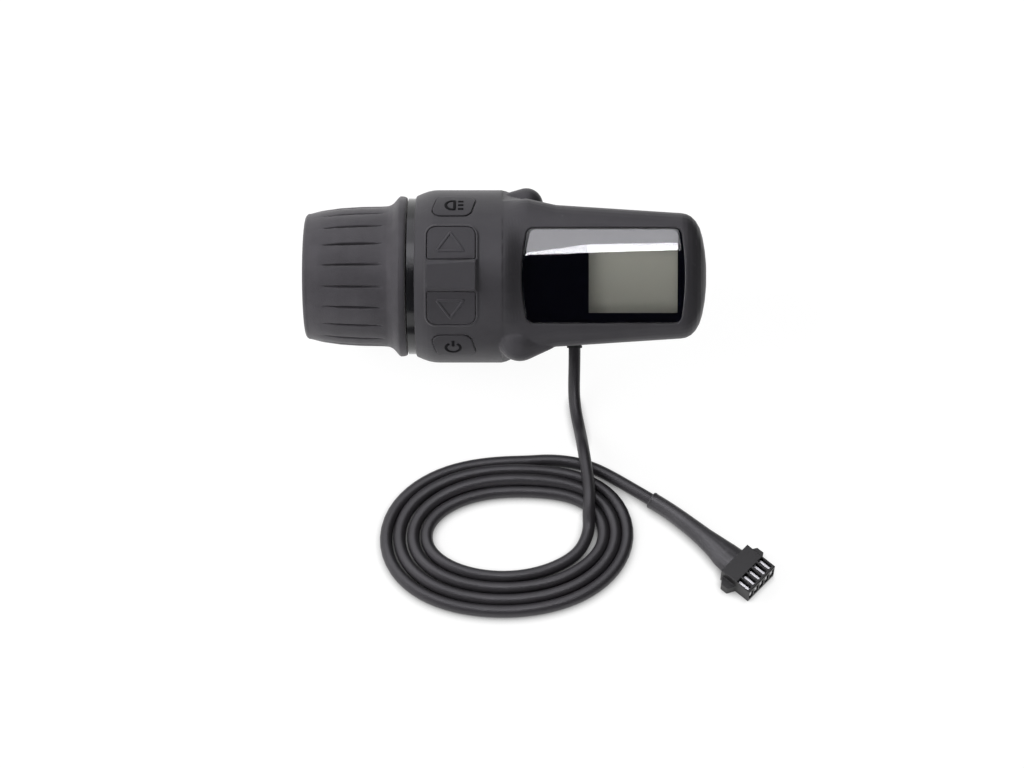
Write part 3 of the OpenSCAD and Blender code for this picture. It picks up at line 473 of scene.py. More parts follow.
@dataclass(frozen=True)
class ClearFinish:
    """Clear hard-coated plastic of the lens."""

    name: str
    tint: Colour = (0.93, 0.95, 0.93)
    ior: float = 1.5
    smudge_scale: float = 300.0
    smudge_detail: float = 3.0
    smudge_ends: Pair = (0.4, 0.7)
    roughness: Pair = (0.015, 0.05)

    def material(self) -> bpy.types.Material:
        """Builds the material: clear for light that passes to what lies under it.

        Returns:
            The material.
        """
        material, calls, shader, output = new_material(self.name)
        place = calls.add("ShaderNodeTexCoord").outputs["Object"]
        smudge = calls.noise(self.smudge_scale, self.smudge_detail, place)
        calls.feed(shader, {
            "Base Color": shade(self.tint),
            "Roughness": calls.ramp(smudge, self.smudge_ends, self.roughness),
            "Transmission Weight": 1.0,
            "IOR": self.ior,
        })
        clear = calls.add("ShaderNodeBsdfTransparent", {"Color": shade(self.tint)})
        calls.surface(output, calls.add("ShaderNodeLightPath").outputs["Is Shadow Ray"], shader, clear)
        return material


class Finishes:
    """The finishes of the whole object, by the material slot that each one colours."""

    def __init__(self) -> None:
        """Builds every material."""
        effects = Effects()
        case, back, key = (0.042, 0.040, 0.045), (0.040, 0.038, 0.043), (0.041, 0.039, 0.044)
        grip, panel, nickel = (0.046, 0.043, 0.049), (0.192, 0.182, 0.164), (0.5, 0.5, 0.52)
        table = [
            Finish("case_plastic", "case", case, 0.5, 0.3, 0.016, 0.5, 0.07, 0.35, 0.28, sheen=0.16),
            Finish("case_back_plastic", "case_back", back, 0.55, 0.3, 0.02, 0.5, 0.08, 0.3, 0.28, sheen=0.16),
            Finish("ring_gloss", "gloss_ring", (0.008, 0.008, 0.009), 0.16, 0.8, 0.0005, 0.2, 0.1, 0.3),
            Finish("screw_steel", "screws", (0.16, 0.16, 0.17), 0.38, 0.4, 0.008, 0.3, 0.2, 0.6, 0.5, 0.9),
            Finish("bush_acetal", "bush", (0.6, 0.57, 0.5), 0.35, 0.5, 0.004, 0.2, 0.05, 0.1),
            Finish("inner_nylon", "inner_plastic", (0.03, 0.03, 0.033), 0.55, 0.35, 0.012, 0.4, 0.12, 0.4),
            Finish("spring_wire", "spring_steel", nickel, 0.3, 0.3, 0.004, 0.2, 0.15, 0.3, 0.5, 1.0),
            Finish("board_mask", "circuit_board", (0.02, 0.12, 0.06), 0.3, 0.6, 0.006, 0.4, 0.25, 0.2),
            Finish("chip_epoxy", "chip", (0.015, 0.015, 0.016), 0.6, 0.15, 0.01, 0.5, 0.15, 0.4),
            Finish("lens_print", "lens", (0.0015, 0.0015, 0.003), 0.5, 0.8, 0.0005, 0.2, 0.05, 0.1, 0.0),
            Finish("gasket_rubber", "gasket", (0.012, 0.012, 0.012), 0.8, 0.3, 0.012, 0.5, 0.1, 0.2),
            # the lcd's fade paints a reflection into its colour: paler high up, darker low down
            Finish("lcd_glass", "lcd", panel, 0.6, 0.25, 0.001, 0.3, 0.05, 0.0, 0.1, fade=0.3),
            Finish("light_guide", "backlight", (0.8, 0.82, 0.8), 0.3, 0.5, 0.002, 0.2, 0.03, 0.05),
            Finish("insert_brass", "insert", (0.6, 0.42, 0.16), 0.3, 0.3, 0.006, 0.3, 0.15, 0.3, 0.5, 1.0),
            Finish("gland_rubber", "gland", (0.02, 0.02, 0.021), 0.6, 0.3, 0.01, 0.5, 0.1, 0.3),
            Finish("cable_jacket", "cable", (0.031, 0.029, 0.033), 0.44, 0.5, 0.006, 0.3, 0.12, 0.15),
            Finish("shrink_tube", "shrink", (0.050, 0.048, 0.053), 0.38, 0.5, 0.01, 0.3, 0.15, 0.25),
            Finish("plug_nylon", "connector", (0.010, 0.0095, 0.010), 0.45, 0.3, 0.01, 0.4, 0.12, 0.5),
            Finish("tinned_contact", "terminals", (0.5, 0.5, 0.51), 0.4, 0.4, 0.004, 0.2, 0.2, 0.2, 0.5, 1.0),
            Finish("grip_rubber", "grip_rubber", grip, 0.62, 0.42, 0.05, 0.9, 0.14, 0.3, 0.4, sheen=0.28),
            Finish("magnet_nickel", "magnet", nickel, 0.25, 0.4, 0.003, 0.2, 0.1, 0.2, 0.5, 1.0),
            Finish("key_plastic", "key", key, 0.5, 0.26, 0.012, 0.5, 0.07, 0.4, 0.22, sheen=0.16),
            Finish("plunger_plastic", "plunger", (0.5, 0.47, 0.4), 0.5, 0.3, 0.006, 0.3, 0.08, 0.1),
        ]
        ink = Finish("sign_ink", "key", (0.008, 0.008, 0.009), 0.6, 0.3, 0.004, 0.3, 0.1, 0.0, 0.05)
        self.by_slot = {finish.slot: finish.material(effects) for finish in table}
        self.sign_ink = ink.material(effects)
        self.lens_clear = ClearFinish("lens_clear").material()

    def dress(self, piece: Piece, slot: str, material: bpy.types.Material | None = None) -> None:
        """Gives a piece its finish.

        Args:
            piece: the object.
            slot: material slot of the record.
            material: another material for that slot, if not its own.
        """
        piece.data.materials.clear()
        piece.data.materials.append(material or self.by_slot[slot])


@dataclass
class PhotoCamera:
    """Camera at the photograph's viewing angle."""

    place: Point = (-0.005425, -0.475311, 0.683758)
    pitch: float = 32.4
    focal: float = 90.0
    sensor: float = 36.0

    def build(self) -> None:
        """Makes the camera and sets it as the scene's."""
        camera = bpy.data.cameras.new("photo_camera")
        camera.lens = self.focal
        camera.sensor_width = self.sensor
        holder = new_object("photo_camera", camera)
        holder.location = self.place
        holder.rotation_euler = (math.radians(self.pitch), 0.0, 0.0)
        bpy.context.scene.camera = holder


@dataclass
class SubAssembly:
    """Part of the object that is made with the object's finishes."""

    finishes: Finishes

    def place(self, piece: Piece, body: Body, slot: str, material: bpy.types.Material | None = None) -> None:
        """Dresses a new piece with the finish of its slot and lets it ride on a body.

        Args:
            piece: the object.
            body: the body that it rides on.
            slot: material slot of the record.
            material: another material for that slot, if not its own.
        """
        self.finishes.dress(piece, slot, material)
        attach(piece, body.value)
        LOG.info("%s rides on %s", piece.name, body.value)


@dataclass
class SignalCable(SubAssembly):
    """Cable from the outlet through the coil to the heat-shrink sleeve, in millimetres and degrees.

    Each knot of settled is an angle of the coil with its shift outwards and its lift. The lead's bow is the
    shift of each of its points along x.
    """

    diameter: float = 3.9
    cad_diameter: float = 3.7
    outlet: Point = (15.0, -23.283, -3.4)
    coil_x: float = -6.8
    coil_y: float = -82.4
    coil_a: float = 24.8
    coil_b: float = 13.8
    pitch: float = 4.2
    turns: float = 3.75
    coil_from: float = 12.0
    bulge_from: float = 180.0
    bulge_size: float = 3.0
    bulge_mid: float = 335.0
    bulge_half: float = 60.0
    turn_points: int = 72
    fine_step: float = 1.2
    ease_rounds: int = 10
    bevel_steps: int = 6
    probe: float = 0.5
    settled: tuple[Point, ...] = (
        (12, -0.4, 0), (45, -0.9, 0), (90, -0.51, 0), (180, -0.73, 0), (270, 0, 0), (360, 0.4, 0),
        (405, -0.3, 0), (450, -0.7, 0), (540, -0.43, 0), (630, -0.8, 2.05), (720, 0.1, 0), (810, -0.67, 0),
        (900, 0, 0), (990, -1.15, 1.38), (1080, -0.1, 0), (1170, -0.95, 0), (1255, 0.4, 0), (1300, -1.0, 0),
        (1350, -1.7, 0),
    )
    tail_fade: float = 30.0
    lead_bow: tuple[float, ...] = (0, 0, 0.3, 0.8, 1.15, 1.1, 0.9, 0.8, 0.8, 0.8, 0.7, 0.5, 0.3, 0)
    lead_points: tuple[Point, ...] = (
        (14.9, -25.2, -21.4), (14.8, -29.2, -23.8), (14.8, -33.6, -25.5), (15, -38.4, -26.1),
        (15.4, -42.4, -26.0), (15.8, -46, -24.6), (16.3, -49.4, -22.7), (16.8, -53.2, -21.7),
        (17.3, -57.4, -21.6), (17.9, -62, -21.6), (18.4, -66.2, -21.6), (18.7, -70, -21.7),
        (18.7, -73.4, -22.9), (18.5, -76.2, -24.8),
    )
    tail_points: tuple[Point, ...] = (
        (4, -52.9, -26.15), (8.6, -53.2, -26.15), (14, -54.2, -26.15), (19, -55.9, -26.15),
        (24, -58.6, -26.1), (29, -61.9, -25.9), (33, -64.9, -25.5), (36, -67, -25.35), (39, -69.1, -25.35),
    )

    def _coil_point(self, angle: float) -> Vector:
        """Gives the cable's middle at an angle of the coil."""
        a = math.radians(angle)
        outward = Vector((self.coil_b * math.cos(a), -self.coil_a * math.sin(a), 0.0)).normalized()
        off = abs((angle - self.bulge_mid + 180) % 360 - 180)
        bulge = 0.0
        if angle >= self.bulge_from and off <= self.bulge_half:
            bulge = self.bulge_size * math.cos(math.radians(90 * off / self.bulge_half)) ** 2
        shift, lift = self._settled_at(angle)
        reach = self.pitch * angle / 360 + bulge + shift
        middle = Vector((self.coil_x, self.coil_y, TABLE_Z + self.cad_diameter / 2 + lift))
        return middle + Vector((self.coil_a * math.cos(a), -self.coil_b * math.sin(a), 0.0)) + reach * outward

    def _settled_at(self, angle: float) -> Pair:
        """Gives the shift outwards and the lift at an angle, eased between the knots."""
        angles = [knot[0] for knot in self.settled]
        k = min(max(int(np.searchsorted(angles, angle)) - 1, 0), len(angles) - 2)
        before, after = self.settled[k], self.settled[k + 1]
        share = min(1.0, max(0.0, (angle - before[0]) / (after[0] - before[0])))
        share = (1 - math.cos(math.pi * share)) / 2
        return before[1] + share * (after[1] - before[1]), before[2] + share * (after[2] - before[2])

    def _coil_direction(self, angle: float) -> Vector:
        """Gives the direction of the coil at an angle."""
        return (self._coil_point(angle + self.probe) - self._coil_point(angle - self.probe)).normalized()

    def _smooth(self, points: list[Vector]) -> list[Vector]:
        """Draws a smooth curve through points, with a point every fine step."""
        result = []
        for k, (here, there) in enumerate(zip(points, points[1:])):
            steps = max(1, round((there - here).length / self.fine_step))
            result += [spline_place(points, k, i / steps) for i in range(steps)]
        return result + [points[-1]]

    def exit_point(self) -> Vector:
        """Gives the place where the cable leaves the outlet, in metres."""
        return from_unit(*self.outlet)

    def _coil(self) -> list[Vector]:
        """Gives the middle line of the coil."""
        sweep = 360 * self.turns - self.coil_from
        steps = round(self.turn_points * sweep / 360)
        return [self._coil_point(self.coil_from + sweep * i / steps) for i in range(steps + 1)]

    def route(self) -> list[Vector]:
        """Gives the whole middle line of the cable, with its joints smoothed.

        Returns:
            Places in millimetres, from the outlet to the sleeve.
        """
        coil = self._coil()
        leave = Vector((0.0, -math.cos(FACE_TILT), -math.sin(FACE_TILT)))
        start = self.exit_point() / MM
        way_in = self.cad_diameter * self._coil_direction(self.coil_from)
        way_out = self.cad_diameter * self._coil_direction(360 * self.turns)
        lead = [start, start + self.cad_diameter * leave]
        lead += [Vector(p) + Vector((bow, 0.0, 0.0)) for p, bow in zip(self.lead_points, self.lead_bow)]
        lead += [coil[0] - 2 * way_in, coil[0] - way_in, coil[0]]
        tail = [coil[-1], coil[-1] + way_out, coil[-1] + 2 * way_out]
        for x, y, z in self.tail_points:
            fade = max(0.0, 1 - (x - self.coil_x) / self.tail_fade)
            tail.append(Vector((x, y + fade * self.settled[-1][1], z)))
        line = self._smooth(lead)[:-1] + coil + self._smooth(tail)[1:]
        for _ in range(self.ease_rounds):
            eased = [(line[i - 1] + 2 * line[i] + line[i + 1]) / 4 for i in range(2, len(line) - 2)]
            line = line[:2] + eased + line[-2:]
        lowest = TABLE_Z + self.diameter / 2
        return [Vector((p.x, p.y, max(p.z, lowest))) for p in line]

    def build(self) -> tuple[Piece, float]:
        """Makes the cable.

        Returns:
            The cable, and its length in metres.
        """
        line = self.route()
        curve = bpy.data.curves.new("signal_cable", "CURVE")
        curve.dimensions = "3D"
        curve.bevel_depth = self.diameter / 2 * MM
        curve.bevel_resolution = self.bevel_steps
        curve.use_fill_caps = True
        spline = curve.splines.new("POLY")
        spline.points.add(len(line) - 1)
        for point, place in zip(spline.points, line):
            point.co = (*(place * MM), 1.0)
        spline.use_smooth = True
        cable = new_object("signal_cable", curve)
        self.place(cable, Body.HOUSING, "cable")
        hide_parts("cable_lead", "cable_coil", "cable_tail")
        length = sum((b - a).length for a, b in zip(line, line[1:])) * MM
        return cable, length

    def declare(self, cable: Piece, length: float, others: list[Piece]) -> None:
        """Args:
            cable: the cable; not used.
            length: its length in metres.
            others: pieces on it; not used.
        """
        LOG.info("cable is %.3f m long", length)


@dataclass
class ShrinkSleeve(SubAssembly):
    """Heat-shrink sleeve over the end of the cable, flattened where the wires fan out to the connector."""

    diameter: float = 5.3
    sides: int = 48
    plug_angle: float = -43.0
    plug_back: Point = (64.2, -91.7, -25.0)
    last_step: float = 3.8
    route: tuple[Point, ...] = (
        (39, -69.1, -25.35), (42, -71.2, -25.35), (46, -74.3, -25.35), (51, -78.7, -25.3),
        (55.2, -82.7, -25.2), (58.8, -86.2, -25.1),
    )
    width_share: tuple[float, ...] = (1, 1, 1.02, 1.1, 1.24, 1.5, 1.78, 1.92)
    height_share: tuple[float, ...] = (1, 1, 1, 1, 0.98, 0.94, 0.9, 0.86)
    wires: int = 5
    wire_relief: float = 0.12
    fan_from: float = 3.0
    fan_over: float = 3.0
    lip_share: float = 0.05
    lip_ring: int = 2
    lip_width: float = 1.6
    fine: int = 12

    def build(self) -> Piece:
        """Makes the sleeve with the ridges of the wires showing through it.

        Returns:
            The sleeve.
        """
        turn = math.radians(self.plug_angle)
        back_step = self.last_step * Vector((math.cos(turn), math.sin(turn), 0.0))
        end = Vector(self.plug_back)
        path = [Vector(p) for p in self.route] + [end - back_step, end]
        last = len(path) - 1
        rings = last * self.fine + 1
        points: list[Vector] = []
        for i in range(rings):
            t = min(i / self.fine, last - TINY)
            k, f = int(t), t - int(t)
            middle = spline_place(path, k, f)
            after = min(k + 1, last - 1)
            ahead = (path[k + 1] - path[k]).lerp(path[after + 1] - path[after], f).normalized()
            side = ahead.cross(Vector((0, 0, 1))).normalized()
            high = side.cross(ahead)
            half_w = self.diameter / 2 * np.interp(t, range(last + 1), self.width_share)
            half_h = self.diameter / 2 * np.interp(t, range(last + 1), self.height_share)
            fan = self.wire_relief * min(1.0, max(0.0, (t - self.fan_from) / self.fan_over))
            lip = 1.0 + self.lip_share * math.exp(-((i - self.lip_ring) / self.lip_width) ** 2)
            for s in range(self.sides):
                a = 2 * math.pi * s / self.sides
                ridge = (1 + math.cos(self.wires * math.pi * math.cos(a))) / 2
                relief = fan * abs(math.sin(a)) * ridge - fan
                point = middle + side * half_w * lip * math.cos(a)
                point += high * (half_h * lip + relief) * math.sin(a)
                point.z = max(point.z, TABLE_Z)
                points.append(point * MM)
        sleeve = new_mesh("shrink_tube_sleeve", points, tube_faces(rings, self.sides))
        self.place(sleeve, Body.HOUSING, "shrink")
        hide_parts("shrink_sleeve")
        return sleeve


@dataclass
class Studio:
    """Plain pale floor, soft lights and the cards that the glossy lens and ring reflect, in metres.

    A lamp is its name, place, size and power in watts. A sky is its name, start and end along y and strength.
    """

    floor_size: float = 6.0
    floor_grey: float = 0.86
    floor_roughness: float = 0.9
    floor_specular: float = 0.1
    glow_share: float = 0.85
    glow_strength: float = 1.1
    # reach, samples and ends of the painted contact shadow in the floor's glow
    contact_shadow_reach: float = 0.0035
    contact_shadow_samples: int = 8
    contact_shadow_ends: Pair = (0.1, 0.85)
    world_level: float = 0.2
    aim: Point = (0.0, -0.02, 0.0)
    lamps: tuple[tuple[str, Point, Pair, float], ...] = (
        ("key_lamp", (-0.75, -0.1, 0.5), (0.55, 0.55), 6.2),
        ("front_lamp", (-0.1, -0.9, 0.14), (0.9, 0.35), 3.7),
        ("back_lamp", (-0.1, 0.8, 0.4), (0.9, 0.5), 5.4),
    )
    card_tint: Colour = (0.96, 0.95, 1.0)
    card_height: float = 0.6
    band_low: tuple[Pair, ...] = ((-0.02, -0.262), (0.006, -0.243), (0.037, -0.228), (0.088, -0.212))
    band_high: tuple[Pair, ...] = ((-0.02, -0.248), (0.006, -0.225), (0.037, -0.174), (0.088, -0.166))
    band_strength: float = 24.0
    lens_card_end: float = -0.04
    lens_card_strength: float = 8.3
    sky_height: float = 0.8
    sky_sides: Pair = (-0.9, 0.3)
    skies: tuple[tuple[str, float, float, float], ...] = (
        ("near_sky", -0.22, -0.1, 1.3), ("strip", -0.1, 0.2, 2.9), ("far_sky", 0.2, 1.3, 1.7),
    )
    flag_half: float = 0.75
    flag_edges: tuple[Pair, Pair] = ((-1.05, 0.02), (-0.32, 0.92))
    board_x: float = 0.17
    board_sides: Pair = (-0.3, 0.45)
    board_top: float = 0.55
    board_gap: float = 0.001
    flag_grey: float = 0.004

    def build(self) -> None:
        """Makes the floor, the world, the lamps and the cards."""
        self._floor()
        self._world()
        for lamp in self.lamps:
            self._lamp(*lamp)
        top = [(x, self.lens_card_end) for x, _ in self.band_high]
        self._card("band_card", self.band_low, self.band_high, self.card_height, self.band_strength)
        self._card("lens_card", self.band_high, top, self.card_height, self.lens_card_strength)
        for name, start, stop, strength in self.skies:
            low, high = ([(x, y) for x in self.sky_sides] for y in (start, stop))
            self._card(name, low, high, self.sky_height, strength)
        self._flag()

    def _floor(self) -> None:
        """Makes the floor: nearly white where it is seen, with a painted contact shadow darker close under the
        object.
        """
        edges = (-self.floor_size / 2, self.floor_size / 2)
        corners = [Vector((x, y, TABLE_Z * MM)) for y in edges for x in edges]
        floor = new_mesh("floor", corners, [(0, 1, 3, 2)], False)
        material, calls, shader, output = new_material("floor_paper")
        calls.feed(shader, {
            "Base Color": shade((self.floor_grey,) * 3),
            "Roughness": self.floor_roughness,
            "Specular IOR Level": self.floor_specular,
        })
        # ambient occlusion dims the floor's glow: a painted contact shadow under the object and between the
        # cable's turns
        reach = {"Distance": self.contact_shadow_reach}
        painted_contact_shadow = calls.add("ShaderNodeAmbientOcclusion", reach, samples=self.contact_shadow_samples).outputs["AO"]
        strength = calls.math("MULTIPLY", calls.ramp(painted_contact_shadow, self.contact_shadow_ends), self.glow_strength)
        glow = calls.add("ShaderNodeEmission", {"Strength": strength})
        calls.surface(output, calls.math("MULTIPLY", calls.seen(), self.glow_share), shader, glow)
        floor.data.materials.append(material)

    def _world(self) -> None:
        """Makes the world: white where it is seen, and a plain level of soft light."""
        world = bpy.data.worlds.new("studio_world")
        world.use_nodes = True
        bpy.context.scene.world = world
        calls = NodeTree(world.node_tree)
        strength = calls.ramp(calls.seen(), (0.0, 1.0), (self.world_level, 1.0))
        white = shade((1.0, 1.0, 1.0))
        calls.feed(world.node_tree.nodes["Background"], {"Strength": strength, "Color": white})

    def _lamp(self, name: str, place: Point, size: Pair, power: float) -> None:
        """Makes an area lamp that faces the object."""
        light = bpy.data.lights.new(name, "AREA")
        light.shape = "RECTANGLE"
        light.size, light.size_y = size
        light.energy = power
        lamp = new_object(name, light)
        lamp.location = place
        lamp.rotation_euler = (Vector(self.aim) - Vector(place)).to_track_quat("-Z", "Y").to_euler()
        lamp.visible_glossy = False

    def _card(
        self, name: str, low: Sequence[Pair], high: Sequence[Pair], height: float, strength: float
    ) -> None:
        """Makes a bright card above the object, between two edges, that only glossy surfaces show."""
        points = [Vector((x, y, height)) for x, y in (*low, *high)]
        count = len(low)
        card = new_mesh(name, points, [(i, i + 1, count + i + 1, count + i) for i in range(count - 1)], False)
        material, calls, _, output = new_material(name)
        glow = calls.add("ShaderNodeEmission", {"Color": shade(self.card_tint), "Strength": strength})
        calls.feed(output, {"Surface": glow.outputs["Emission"]})
        card.data.materials.append(material)
        self._only_glossy(card)

    def _flag(self) -> None:
        """Makes the dark cards behind the camera and on the right that keep the lens and the nose dark."""
        points = [Vector((x, y, z)) for y, z in self.flag_edges for x in (-self.flag_half, self.flag_half)]
        foot = TABLE_Z * MM + self.board_gap
        points += [Vector((self.board_x, y, z)) for z in (foot, self.board_top) for y in self.board_sides]
        flag = new_mesh("dark_flag", points, [(0, 1, 3, 2), (4, 5, 7, 6)], False)
        material, calls, shader, _ = new_material("flag_cloth")
        cloth = shade((self.flag_grey,) * 3)
        calls.feed(shader, {"Base Color": cloth, "Roughness": 1.0, "Specular IOR Level": 0.0})
        flag.data.materials.append(material)
        self._only_glossy(flag)

    @staticmethod
    def _only_glossy(card: Piece) -> None:
        card.visible_camera = False
        card.visible_diffuse = False
        card.visible_shadow = False
        card.visible_volume_scatter = False


@dataclass
class Grip(SubAssembly):
    """Rubber grip: a turned form with tapered grooves between slightly crowned pads, in millimetres.

    A shape is pairs of shares: how far along the body or the cone, and how much of its rise is reached.
    """

    left_x: float = -72.2
    length: float = 32.8
    inner_r: float = 14.51
    end_r: float = 20.4
    full_r: float = 22.7
    rim_r: float = 26.0
    end_round: float = 1.6
    end_turn: float = 70.0
    corner_share: float = 0.9
    corner_drop: float = 0.1
    rim_w: float = 2.1
    rim_from: float = 0.15
    rim_fall: float = 0.45
    rim_chamfer: float = 1.2
    bore_chamfer: float = 0.4
    cone_w: float = 3.6
    body_shape: tuple[Pair, ...] = ((0.16, 0.39), (0.34, 0.76), (0.55, 0.95), (0.76, 1.0))
    cone_shape: tuple[Pair, ...] = ((0, 0.05), (0.4, 0.29), (0.85, 0.89), (1, 1))
    ease_rounds: int = 6
    groove_count: int = 20
    groove_length: float = 19.2
    groove_width: float = 1.15
    groove_depth: float = 1.15
    groove_mid_share: float = 0.512
    groove_end_share: float = 0.35
    groove_section: float = 1.1
    groove_taper: float = 0.7
    pad_crown: float = 0.22
    pad_section: float = 0.8
    swell_from: float = 3.0
    swell_in: float = 5.0
    swell_out: float = 3.0
    seat_r: float = 18.65
    seat_depth: float = 1.25
    seat_lip: float = 0.02
    seat_chamfer: float = 0.1
    round_steps: int = 8
    steps_round: int = 960
    steps_along: int = 150

    def _outline(self) -> list[Pair]:
        """Gives the outline from the seat at the outer end, over the body, to the bore beside the barrel."""
        fall = self.full_r - self.end_r
        rise = self.rim_r - self.full_r
        cone_start = self.length - self.rim_w - self.cone_w
        knots = [(self.end_round * self.corner_share, self.end_r - self.corner_drop)]
        knots += [(s * self.length, self.end_r + h * fall) for s, h in self.body_shape]
        knots += [(cone_start + s * self.cone_w, self.full_r + h * rise) for s, h in self.cone_shape]
        xs, rs = zip(*knots)
        places = np.linspace(xs[0], xs[-1], self.steps_along)
        radii = np.interp(places, xs, rs)
        for _ in range(self.ease_rounds):
            radii[1:-1] = (radii[:-2] + 2 * radii[1:-1] + radii[2:]) / 4
        corner = [
            (self.end_round * (1 - math.cos(a)), self.end_r - self.end_round + self.end_round * math.sin(a))
            for a in np.linspace(0, math.radians(self.end_turn), self.round_steps)
        ]
        end = [
            (self.seat_depth, self.inner_r), (self.seat_depth, self.seat_r), (self.seat_lip, self.seat_r),
            (0.0, self.seat_r + self.seat_chamfer),
        ]
        edge = [
            (self.length - self.rim_w * (1 - s), self.rim_r - self.rim_fall * s**3)
            for s in np.linspace(self.rim_from, 1, self.round_steps)
        ]
        back_radii = (self.rim_r - self.rim_chamfer, self.inner_r + self.bore_chamfer, self.inner_r)
        return end + corner + list(zip(places, radii)) + edge + [(self.length, r) for r in back_radii]

    def build(self) -> None:
        """Makes the grip."""
        outline = self._outline()
        mid = self.length * (1 - self.groove_mid_share)
        swell_end = self.length - self.rim_w - self.cone_w
        angles = np.arange(self.steps_round) * 2 * math.pi / self.steps_round
        phase = (angles * self.groove_count / (2 * math.pi) - 0.5) % 1.0
        off_groove = np.minimum(phase, 1 - phase) * 2 * math.pi / self.groove_count * self.full_r
        hollow = 1 - np.sin(np.pi * phase) ** self.pad_section
        points: list[Vector] = []
        for x, r in outline:
            along = (x - mid) / (self.groove_length / 2)
            radii = np.full(self.steps_round, r)
            if r > self.end_r - self.end_round and self.end_round < x < self.length - self.rim_w:
                fade = max(0.0, 1 - along**2)
                half = self.groove_width / 2 * (self.groove_end_share + (1 - self.groove_end_share) * fade)
                cut = np.clip(1 - (off_groove / half) ** 2, 0, 1) ** self.groove_section
                swell = min(1.0, max(0.0, (x - self.swell_from) / self.swell_in))
                swell *= min(1.0, max(0.0, (swell_end - x) / self.swell_out))
                groove = self.groove_depth * cut * fade**self.groove_taper
                radii = r - groove - self.pad_crown * swell * hollow
            for angle, radius in zip(angles, radii):
                points.append(round_bar(self.left_x + x, float(radius), float(angle)))
        faces = tube_faces(len(outline), self.steps_round, capped=False)
        grip = new_mesh("grip_rubber_sleeve", points, faces)
        self.place(grip, Body.THROTTLE, "grip_rubber")
        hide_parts("grip_sleeve")


@dataclass
class Moulding(SubAssembly):
    """A carried-over CAD piece whose sharp edges get the small radii of a moulded part."""

    node: str
    slot: str
    voxel: float
    rounds: int
    factor: float = 0.5

    def build(self) -> None:
        """Adds the modifiers that round the edges, and the finish."""
        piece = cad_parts[self.node]
        weld = piece.modifiers.new("weld", "WELD")
        weld.merge_threshold = TINY
        remesh = piece.modifiers.new("rounding", "REMESH")
        remesh.mode = "VOXEL"
        remesh.voxel_size = self.voxel * MM
        remesh.use_smooth_shade = True
        smooth = piece.modifiers.new("softening", "SMOOTH")
        smooth.factor = self.factor
        smooth.iterations = self.rounds
        self.finishes.dress(piece, self.slot)
        LOG.info("%s is rounded", self.node)


class SignStroke(Enum):
    """How a stroke of a sign is drawn."""

    PRINTED = "printed"
    EMBOSSED = "embossed"


@dataclass
class KeySign(SubAssembly):
    """A sign on a key: strokes that lie on the key's round face, in millimetres.

    The section of a stroke is pairs of shares: across its width, and up its height.
    """

    name: str
    body: Body
    strokes: list[list[Pair]]
    angle: float
    mid_x: float
    style: SignStroke
    face_r: float = 28.3
    width: float = 0.9
    height: float = 0.22
    step: float = 0.35
    section: tuple[Pair, ...] = (
        (-0.5, -1.0), (-0.5, 0.3), (-0.3, 0.85), (0.0, 1.0), (0.3, 0.85), (0.5, 0.3), (0.5, -1.0),
    )

    def build(self) -> None:
        """Makes the strokes as low rounded ridges that follow the face."""
        points: list[Vector] = []
        faces: list[Face] = []
        for stroke in self.strokes:
            line = self._dense(stroke)
            faces += tube_faces(len(line), len(self.section), len(points))
            for i, (px, pv) in enumerate(line):
                before, after = line[max(i - 1, 0)], line[min(i + 1, len(line) - 1)]
                dx, dv = after[0] - before[0], after[1] - before[1]
                size = math.hypot(dx, dv) or 1.0
                for across, up in self.section:
                    sx = px - dv / size * across * self.width
                    sv = pv + dx / size * across * self.width
                    angle = math.radians(self.angle) + sv / self.face_r
                    points.append(round_bar(self.mid_x + sx, self.face_r + up * self.height, angle))
        sign = new_mesh(self.name, points, faces)
        printed = self.style is SignStroke.PRINTED
        self.place(sign, self.body, "key", self.finishes.sign_ink if printed else None)

    def _dense(self, stroke: list[Pair]) -> list[Pair]:
        """Adds points along a stroke so that it can follow the round face."""
        result = []
        for (ax, av), (bx, bv) in zip(stroke, stroke[1:]):
            count = max(1, round(math.hypot(bx - ax, bv - av) / self.step))
            result += [(ax + (bx - ax) * k / count, av + (bv - av) * k / count) for k in range(count)]
        return result + [stroke[-1]]


def arc_points(centre: Pair, radii: Pair, start: float, stop: float, count: int) -> list[Pair]:
    """Gives points of an arc in x and v.

    Args:
        centre: its centre.
        radii: its radius along x and along v.
        start: first angle in degrees.
        stop: last angle in degrees.
        count: number of steps.

    Returns:
        The points.
    """
    return [
        (centre[0] + radii[0] * math.cos(math.radians(a)), centre[1] + radii[1] * math.sin(math.radians(a)))
        for a in np.linspace(start, stop, count + 1)
    ]


